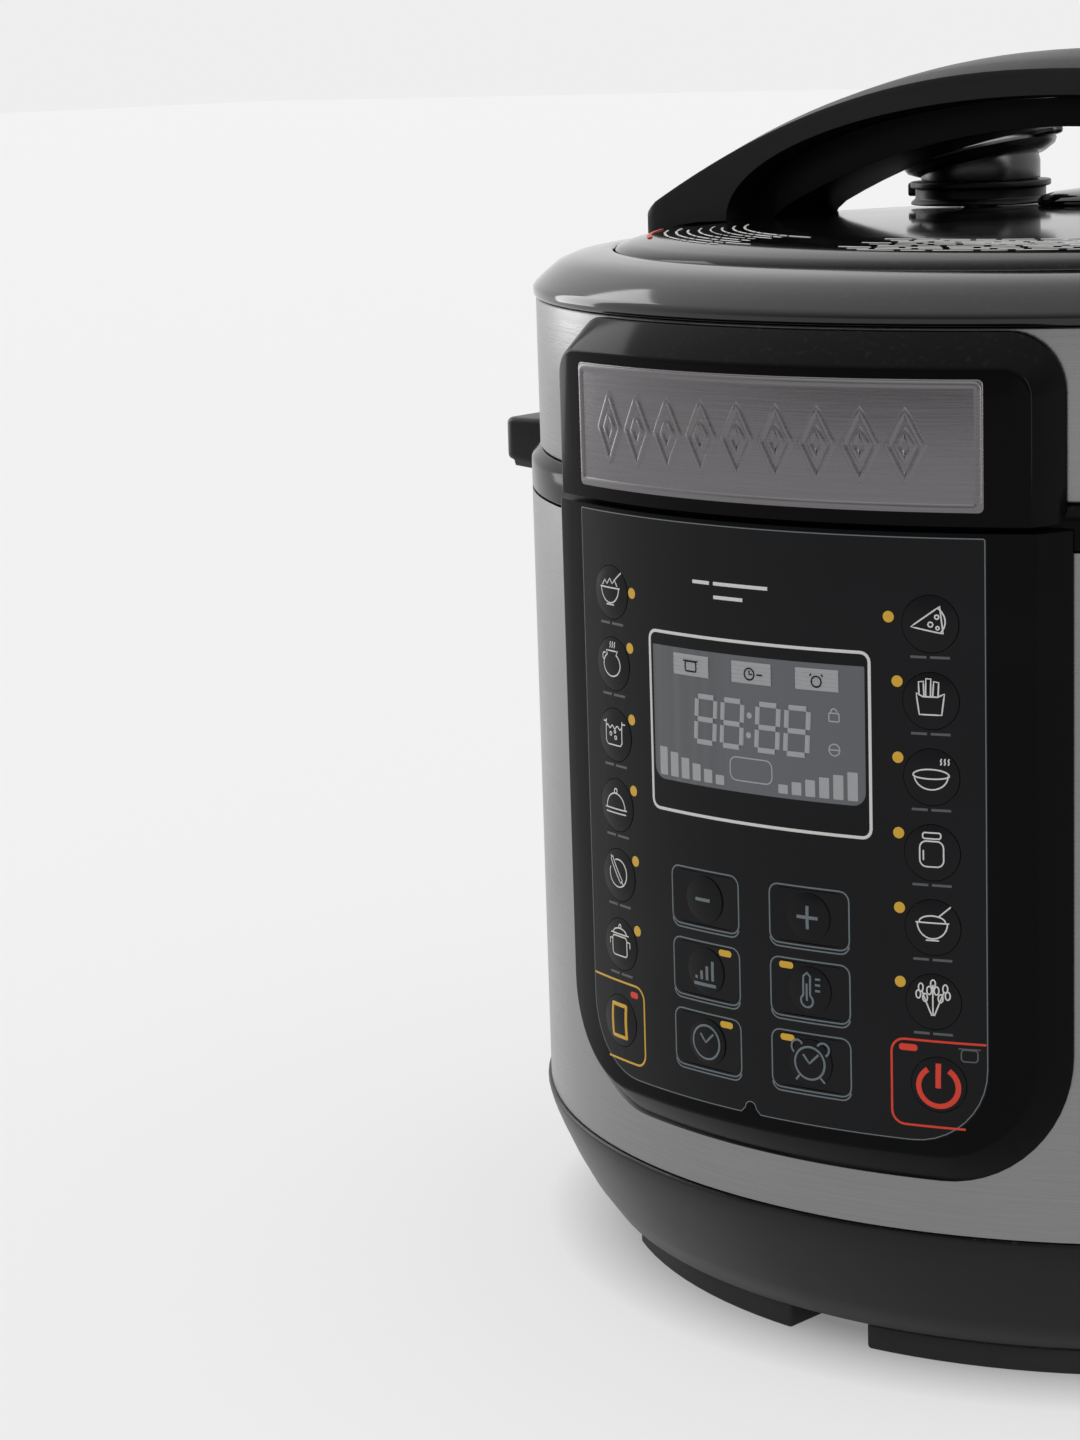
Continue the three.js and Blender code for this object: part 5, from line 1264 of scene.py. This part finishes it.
class COOKER_OT_lid_handle(bpy.types.Operator):
    """Arched handle: crowned cover over a lower part with the finger arch"""
    bl_idname = "cooker.lid_handle"
    bl_label = "Lid handle"

    def execute(self, context):
        self.cover()
        self.lower_part()
        return {"FINISHED"}

    def stations(self, reach, count):
        """Places along the handle, closer together towards its ends."""
        return [reach * math.sin(math.pi / 2 * i / count) for i in range(-count, count + 1)]

    def cover(self):
        inner = self.stations(SEAM_REACH, 24)
        ends = [SEAM_REACH + 0.4, 98, 103, 108, 112, 115, 116.6, 117.4, 117.8]
        places = [-x for x in reversed(ends)] + inner + ends
        rings = []
        for x in places:
            shrink = max(0.0, abs(x) - 115.6) * 0.45
            depth = half_depth(x) - shrink
            top = edge_height(x) - shrink * 0.8
            crown = 3.6 * (1 - (x / HANDLE_REACH) ** 2)
            outline = []
            for i in range(13):
                across = -1 + 2 * i / 12
                y = across * depth
                z = top + crown * (1 - across ** 2) - (0.8 if abs(across) == 1 else 0)
                outline.append((x, y, z))
            for side in (1, -1):
                for k in range(4):
                    share = k / 3 if side == 1 else 1 - k / 3
                    y = side * (depth + 0.25)
                    base = self.underside(x, y)
                    z = (top - 1.6) + (base + 0.6 - top + 1.6) * share
                    outline.append((x, y, z))
                if side == 1:
                    for across in (0.97, 0.5, 0, -0.5, -0.97):
                        y = across * depth
                        outline.append((x, y, self.underside(x, y)))
            rings.append(outline)
        piece = loft("lid_handle_cover_smooth", rings)
        done(piece, "lid", "Satin plastic", ["lid_handle_cover"], 38)

    def underside(self, x, y):
        if abs(x) < SEAM_REACH:
            return max(seam_height(x), plate_height(x, y))
        return plate_height(x, y)

    def lower_part(self):
        depth = 14.0
        reach = SEAM_REACH - 0.3
        outline = [(reach * math.sin(a), SEAM_CENTRE + (SEAM_RISE - 0.3) * math.cos(a))
                   for a in [math.pi / 2 * i / 24 for i in range(-24, 25)]]
        outline = [(-reach, HANDLE_FOOT), *outline, (reach, HANDLE_FOOT)]
        arch_half, corner, radius, arch_top = 87.5, 4.0, 188.5, 272.8
        shoulder = arch_half - corner
        sweep = math.degrees(math.asin(shoulder / radius))
        shoulder_z = arch_top - radius * (1 - math.cos(math.radians(sweep)))
        arch = [(arch_half, HANDLE_FOOT), (arch_half, shoulder_z - corner - 1.0),
                *arc(arch_half - corner, shoulder_z - corner - 1.0, corner, corner, 0, 62, 6)[1:],
                *arc(0, arch_top - radius, radius, radius, 90 - sweep, 90 + sweep, 26),
                *arc(-arch_half + corner, shoulder_z - corner - 1.0, corner, corner, 118, 180, 6)[:-1],
                (-arch_half, shoulder_z - corner - 1.0), (-arch_half, HANDLE_FOOT)]
        piece = block("lid_handle_base_smooth", [*outline, *arch], -depth, depth)
        for vertex in piece.data.vertices:
            if vertex.co.z < 0.2465:
                vertex.co.z = plate_height(vertex.co.x / MM, vertex.co.y / MM) * MM
        softened(piece, 1.6, 4, 50)
        done(piece, "lid", "Shaded plastic", ["lid_handle_base"])


class COOKER_OT_steam_valve(bpy.types.Operator):
    """Collar and slanted cap with a pointed lever"""
    bl_idname = "cooker.steam_valve"
    bl_label = "Steam valve"

    def execute(self, context):
        x, y = VALVE_AT
        crown = sizes().plate_crown
        collar = lathe("steam_valve_collar_smooth", [
            (5.9, crown - 0.4), (18.5, crown - 0.4), (18.5, crown + 0.2), (17.3, crown + 1.2), (17.3, 255.2),
            (18.6, 255.5), (18.6, 257.0), (5.9, 257.0)], SMALL_STEPS, VALVE_AT)
        collar = softened(collar, 0.4, 3)
        stop = block("collar_stop", rounded(3.2, crown + 1.4, 256.4, 0.8, 0.8, 3), -2.6, 2.6)
        stop = softened(turned(stop, 90), 0.4, 2)
        moved(stop, x - 18.4, y)
        collar = joined("steam_valve_collar_smooth", collar, stop)
        done(collar, "lid", "Satin plastic", ["steam_valve_collar"])
        self.cap(x, y)
        return {"FINISHED"}

    def cap(self, x, y):
        """Round body, domed disc tilted up towards the lever's point, and its raised marks."""
        body = softened(lathe("cap_body", [(5.9, 257.3), (15.8, 257.3), (15.8, 262.0), (15.0, 265.4),
                                           (5.9, 265.4)],
                              SMALL_STEPS), 0.4, 2)
        disc = lathe("cap_disc", [(0, -3.4), (17, -2.6), (19.8, -1.2), (20.5, 0), (20.2, 0.7), (18, 1.5),
                                  (13, 2.1),
                                  (7, 2.5), (0, 2.6)], SMALL_STEPS + 16)
        lever_plan = [(2, -5.6), (21.5, -4.6), (24.6, -2.6), (26, 0), (24.6, 2.6), (21.5, 4.6), (2, 5.6)]
        lever = softened(plank("cap_lever", lever_plan, 3.6, 3.8), 0.9, 3)
        u_line = [(-4.0, -4.2), (-11.0, -4.2), *arc(-11.0, 0, 4.2, 4.2, 270, 90, 10), (-4.0, 4.2)]
        marks = printed("cap_marks", [u_line, [(-12.2, 0), (-12.0, 0)], [(-7.4, -1.5), (-4.6, -1.5)],
                                      [(-7.4, 1.5), (-4.6, 1.5)]], 1.0)
        moved(marks, z=2.25)
        top = joined("cap_top", disc, lever, marks)
        turned(top, -13, "Y")
        moved(top, z=263.9)
        piece = joined("steam_valve_cap_smooth", body, top)
        moved(piece, x, y)
        done(piece, "steam_valve", "Valve plastic", ["steam_valve_cap"], 38)


class COOKER_OT_float_valve(bpy.types.Operator):
    """Low hood on the lid and the float pin that rises in it"""
    bl_idname = "cooker.float_valve"
    bl_label = "Float valve"

    def execute(self, context):
        crown = sizes().plate_crown
        hood = lathe("float_valve_hood_smooth", [
            (2.8, crown - 0.4), (19, crown - 0.4), (19, crown + 1.0), (18, crown + 1.9), (15, crown + 2.8),
            (9, crown + 3.5), (4.2, crown + 3.4), (3.4, crown + 2.6), (2.8, crown + 2.4)], SMALL_STEPS,
            FLOAT_AT)
        done(softened(hood, 0.3, 2), "lid", "Gloss lid", ["float_valve_hood"])
        top = low("float_valve_pin", 2) + 2
        pin = lathe("float_valve_pin_smooth", [
            (0, top - 2), (4.6, top - 2), (5, top - 1.6), (5, top), (2.2, top), (2.2, 253.4), (1.7, 253.9),
            (0, 253.9)], 24, FLOAT_AT)
        done(pin, "float_valve", "Pressed steel", ["float_valve_pin"])
        return {"FINISHED"}


class COOKER_OT_lid_underside(bpy.types.Operator):
    """Pressed inner lid with its six lugs, exhaust pipe, shield and sealing ring"""
    bl_idname = "cooker.lid_underside"
    bl_label = "Lid underside"

    def execute(self, context):
        flange = 120.4
        lid = lathe("inner_lid_smooth", [
            (0, 212.9), (95, 212.9), (97.5, 212.4), (104, 208.9), (flange, 208.8), (flange, 211.3),
            (105.5, 211.3),
            (98.5, 214.9), (0, 214.9)])
        lid = softened(lid, 0.7, 3, 20)
        lugs = locking_lugs("lid_lug", 125.4, flange - 1, (208.8, 211.3), 0.6, 90)
        done(joined("inner_lid_smooth", lid, *lugs), "lid", "Spun aluminium", ["inner_lid"])
        pipe = lathe("exhaust_pipe_smooth",
                     [(2.5, 206.9), (5.2, 206.9), (5.5, 207.3), (5.5, 261.0), (2.5, 261.0)],
                     32, VALVE_AT)
        done(pipe, "lid", "Pressed steel", ["exhaust_pipe"])
        shield = lathe("anti_block_shield_smooth", [
            (0, 203.4), (10.6, 203.4), (12, 204.8), (12, 212.6), (10.5, 212.6), (10.5, 205.2), (0, 205.0)],
            40, VALVE_AT)
        for angle in (0, 45, 90, 135):
            slot = block("shield_slot", rounded(1.3, 206.2, 210.8, 1.2, 1.2, 3), -20, 20)
            turned(slot, angle)
            moved(slot, *VALVE_AT)
            shield = carved(shield, slot)
        done(shield, "lid", "Pressed steel", ["anti_block_shield"])
        outer = high("sealing_gasket", 0)
        ring_piece = lathe("sealing_gasket_smooth", [
            (outer - 11, 202.6), (outer - 1.2, 202.6), (outer - 0.3, 203.4), (outer, 204.9),
            (outer - 0.3, 207.2),
            (outer - 1, 208.4), (outer - 11, 208.4), (outer - 11.7, 207.0), (outer - 11.9, 205.5),
            (outer - 11.6, 203.6)])
        done(softened(ring_piece, 0.3, 2), "seal", "Silicone", ["sealing_gasket"], 45)
        return {"FINISHED"}


# ---- Operators: pots and rear fittings ----------------------------------------------------
class COOKER_OT_inner_pot(bpy.types.Operator):
    """Coated inner pot with its flat rim"""
    bl_idname = "cooker.inner_pot"
    bl_label = "Inner pot"

    def execute(self, context):
        outer, inner = 110.6, 109.2
        bend = [(outer - 12 + 12 * math.sin(a), 66.4 - 12 * math.cos(a)) for a in
                [math.pi / 2 * i / 8 for i in range(9)]]
        inside = [(inner - 10.6 + 10.6 * math.sin(a), 66.4 - 10.6 * math.cos(a)) for a in
                  [math.pi / 2 * i / 8 for i in range(8, -1, -1)]]
        piece = lathe("inner_pot_smooth", [
            (0, 54.4), *bend, (outer, 200.8), (117.6, 200.8), (117.6, 202.2), (inner + 1, 202.2),
            (inner, 201.2),
            *inside, (0, 55.8)])
        done(softened(piece, 0.4, 2, 40), "inner_pot", "Pot coating", ["inner_pot"], 40)
        self.level_marks(inner)
        return {"FINISHED"}

    def level_marks(self, inner):
        """Level lines printed inside the pot."""
        lines = [[(-4, 85 + 18 * i), (4, 85 + 18 * i)] for i in range(6)]
        lines += [[(-2, 94 + 18 * i), (2, 94 + 18 * i)] for i in range(5)]
        mark = printed("inner_pot_level_marks", lines, 0.6)
        for vertex in mark.data.vertices:
            across, up, out = vertex.co
            angle = across / (inner * MM)
            reach = inner * MM - 0.05 * MM + out * 0.2
            vertex.co = (reach * math.sin(angle), reach * math.cos(angle), up)
        mark.data.update()
        done(mark, "inner_pot", "White ink")


class COOKER_OT_outer_pot(bpy.types.Operator):
    """Aluminium outer pot with its upstand and six locking lugs"""
    bl_idname = "cooker.outer_pot"
    bl_label = "Outer pot"

    def execute(self, context):
        piece = lathe("outer_pot_smooth", [
            (13, 38), (108.2, 38), (112.5, 39.5), (115.2, 45), (115.2, 199.3), (128.4, 199.3), (128.4, 218.6),
            (128.0, 219), (127.6, 219), (127.2, 218.6), (127.2, 200.5), (114, 200.5), (114, 46), (111.6, 41),
            (107, 39.2), (13, 39.2)])
        piece = softened(piece, 0.4, 2)
        lugs = locking_lugs("pot_lug", 127.6, 121.2, (214.5, 217.0), 0.5, 120)
        done(joined("outer_pot_smooth", piece, *lugs), "base", "Spun aluminium", ["outer_pot"])
        heater = lathe("heating_plate_smooth", [
            (13, 45), (93, 45), (95, 47), (95, 51.5), (94, 53), (92, 54.1), (60, 53.9), (59, 53.4),
            (58, 53.9),
            (36, 53.9), (35, 53.4), (34, 53.9), (13, 54.1)])
        done(heater, "base", "Spun aluminium", ["heating_plate"])
        for node, look, slot in [("temperature_sensor", "Pressed steel", "steel"),
                                 ("power_board", "Circuit board", "board"),
                                 ("pressure_switch", "Satin plastic", "satin_plastic"),
                                 ("control_board", "Circuit board", "board"),
                                 ("lid_core", "Satin plastic", "satin_plastic")]:
            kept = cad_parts[node]
            kept.data.materials.clear()
            kept.data.materials.append(finishes()[look])
        return {"FINISHED"}


class COOKER_OT_rear_fittings(bpy.types.Operator):
    """Power inlet with its pins, and the condensate cup in its bracket"""
    bl_idname = "cooker.rear_fittings"
    bl_label = "Rear fittings"

    def execute(self, context):
        self.inlet()
        self.bracket()
        self.cup()
        return {"FINISHED"}

    def inlet(self):
        body = block("power_inlet_smooth", rounded(17, 50, 78, 2.5, 2.5, 4), 120, 147)
        socket = block("inlet_socket", rounded(12.5, 54.5, 73.5, 1.5, 5, 4), 129, 150)
        body = softened(carved(body, socket), 0.5, 3)
        pins = []
        for x, z in [(-7, 62.5), (0, 66.5), (7, 62.5)]:
            pin = block(f"pin_{x}", rounded(1, z - 2, z + 2, 0.2, 0.2, 2), 128.5, 143)
            moved(pin, x)
            pins.append(softened(pin, 0.3, 2))
        done(body, "base", "Satin plastic", ["power_inlet"])
        done(joined("inlet_pins", *pins), "base", "Pressed steel")

    def bracket(self):
        half, bottom, top, back = 30.8, 146.1, 177.9, 121.2
        body = block("condensate_bracket_smooth", rounded(half + 2, bottom - 2, top + 2, 2, 2, 4),
                     back - 2, 141.9)
        radius = 142.3
        edge = arc_length(15.3, radius)
        lip = curved_slab("bracket_lip", edge, rounded(edge, bottom - 6, top + 6, 4, 4, 5), -radius,
                          -140.3, radius)
        lip = turned(softened(lip, 0.6, 3, 40), 180)
        room = block("cup_room", rounded(half, bottom, top, 0.8, 0.8, 2), back, 160)
        second = copied(room, "cup_room_lip")
        body = carved(body, room)
        lip = carved(lip, second)
        done(joined("condensate_bracket_smooth", body, lip), "base", "Satin plastic",
             ["condensate_bracket"])

    def cup(self):
        half, bottom, top, near, face = 30.5, 146.4, 177.6, 121.5, 149.5
        outer = block("condensate_cup_smooth", rounded(half, bottom, top, 3, 0, 5), near, face)
        outer = softened(outer, 1.2, 3, 40)
        hollow = block("cup_hollow", rounded(half - 1.6, bottom + 1.6, top + 4, 2, 0, 4), near + 1.6,
                       face - 1.6)
        outer = carved(outer, hollow)
        done(outer, "condensate_cup", "Clear plastic", ["condensate_cup"])


# ---- Operator: stage ----------------------------------------------------------------------
class COOKER_OT_stage(bpy.types.Operator):
    """Pale floor with a painted contact shadow round the cooker, soft studio light and the camera"""
    bl_idname = "cooker.stage"
    bl_label = "Stage"

    def execute(self, context):
        self.floor()
        self.surroundings()
        self.softbox("left_strip", (-1.6, 0.1, 0.6), 0.6, 1.4, 7)
        self.softbox("right_strip", (1.6, -0.3, 0.6), 0.5, 1.4, 8)
        self.camera()
        context.scene.view_settings.view_transform = "Standard"
        return {"FINISHED"}

    def floor(self):
        fresh()
        bpy.ops.mesh.primitive_plane_add(size=30)
        ground = bpy.context.object
        ground.name = "floor"
        material, tree, surface = shader("Floor", Roughness=0.9, Specular_IOR_Level=0.1,
                                         Emission_Strength=0.615)
        grain = grouped(tree, "Moulded grain", Fineness=300.0)
        tint = colours().floor
        tree.links.new(mixed(tree, grain.outputs["Height"], tuple(c * 0.99 for c in tint), tuple(tint)),
                       surface.inputs["Base Color"])
        place = added(tree, "ShaderNodeTexCoord").outputs["Object"]
        away = added(tree, "ShaderNodeVectorMath", {"operation": "LENGTH"}, _0=place)
        # Emission keeps the floor evenly bright. From 142 mm in to 112 mm from the middle it is dimmed to
        # 0.35, a painted contact shadow round the cooker's foot.
        emission_with_painted_shadow = ranged(tree, away.outputs["Value"], 0.112, 0.142, 0.35, 1.0)
        tree.links.new(mixed(tree, emission_with_painted_shadow, (0, 0, 0), (1, 1, 1)), surface.inputs["Emission Color"])
        ground.data.materials.append(material)

    def surroundings(self):
        """Pale room that is darker on the camera's side."""
        world = bpy.data.worlds.new("Studio")
        bpy.context.scene.world = world
        world.use_nodes = True
        tree = world.node_tree
        direction = added(tree, "ShaderNodeTexCoord").outputs["Generated"]
        towards = added(tree, "ShaderNodeVectorMath", {"operation": "DOT_PRODUCT"}, _0=direction,
                        _1=(0.5, -0.866, 0))
        level = ranged(tree, towards.outputs["Value"], -0.2, 0.7, 0.86, 0.35)
        height = added(tree, "ShaderNodeSeparateXYZ", Vector=direction)
        overhead = ranged(tree, height.outputs["Z"], 0.25, 0.85)
        strength = added(tree, "ShaderNodeMix", {"data_type": "FLOAT"}, _0=overhead, _2=level, _3=1.25)
        back = tree.nodes["Background"]
        tree.links.new(strength.outputs[0], back.inputs["Strength"])
        back.inputs["Color"].default_value = (1, 1, 1, 1)

    def softbox(self, name, place, wide, tall, watts):
        data = bpy.data.lights.new(name, "AREA")
        data.shape = "RECTANGLE"
        data.size, data.size_y, data.energy = wide, tall, watts
        lamp = bpy.data.objects.new(name, data)
        bpy.context.scene.collection.objects.link(lamp)
        lamp.location = place
        lamp.rotation_euler = (Vector((0, 0, 0.13)) - Vector(place)).to_track_quat("-Z", "Y").to_euler()
        lamp.visible_diffuse = False

    def camera(self):
        data = bpy.data.cameras.new("camera")
        data.sensor_width = 36
        data.lens = 83.19
        eye = bpy.data.objects.new("camera", data)
        bpy.context.scene.collection.objects.link(eye)
        azimuth = math.radians(30.3)
        distance, height = 0.831977, 0.295873
        yaw, pitch, roll = 0.169149, 0.199931, -0.032607
        eye.matrix_world = (Matrix.Translation((distance * math.sin(azimuth),
                                                -distance * math.cos(azimuth), height))
                            @ Matrix.Rotation(azimuth + yaw, 4, "Z") @ Matrix.Rotation(math.pi / 2 - pitch,
                                                                                       4, "X")
                            @ Matrix.Rotation(roll, 4, "Z"))
        bpy.context.scene.camera = eye


OPERATORS = (
    COOKER_OT_base_housing, COOKER_OT_feet, COOKER_OT_outer_shell, COOKER_OT_body_top_ring,
    COOKER_OT_side_handles,
    COOKER_OT_panel_bezel, COOKER_OT_panel_film, COOKER_OT_display, COOKER_OT_keys, COOKER_OT_key_marks,
    COOKER_OT_lid_badge, COOKER_OT_lid_steel_band, COOKER_OT_lid_outer_cover, COOKER_OT_lid_dome_plate,
    COOKER_OT_lid_handle, COOKER_OT_steam_valve, COOKER_OT_float_valve, COOKER_OT_lid_underside,
    COOKER_OT_inner_pot, COOKER_OT_outer_pot, COOKER_OT_rear_fittings, COOKER_OT_stage,
)


class COOKER_PT_maker(bpy.types.Panel):
    """Builds the cooker's pieces one by one"""
    bl_idname = "COOKER_PT_maker"
    bl_label = "Pressure cooker"
    bl_space_type = "VIEW_3D"
    bl_region_type = "UI"
    bl_category = "Cooker"

    def draw(self, context):
        for operator in OPERATORS:
            self.layout.operator(operator.bl_idname)
        for group in (context.scene.cooker_sizes, context.scene.cooker_colours):
            for name in group.bl_rna.properties.keys():
                if name not in {"rna_type", "name"}:
                    self.layout.prop(group, name)


CLASSES = (CookerSizes, CookerColours, *OPERATORS, COOKER_PT_maker)


def register():
    for cls in CLASSES:
        bpy.utils.register_class(cls)
    bpy.types.Scene.cooker_sizes = bpy.props.PointerProperty(type=CookerSizes)
    bpy.types.Scene.cooker_colours = bpy.props.PointerProperty(type=CookerColours)


def unregister():
    del bpy.types.Scene.cooker_colours
    del bpy.types.Scene.cooker_sizes
    for cls in reversed(CLASSES):
        bpy.utils.unregister_class(cls)


def main():
    register()
    for operator in OPERATORS:
        getattr(bpy.ops.cooker, operator.bl_idname.split(".")[1])()


if __name__ == "__main__":
    main()
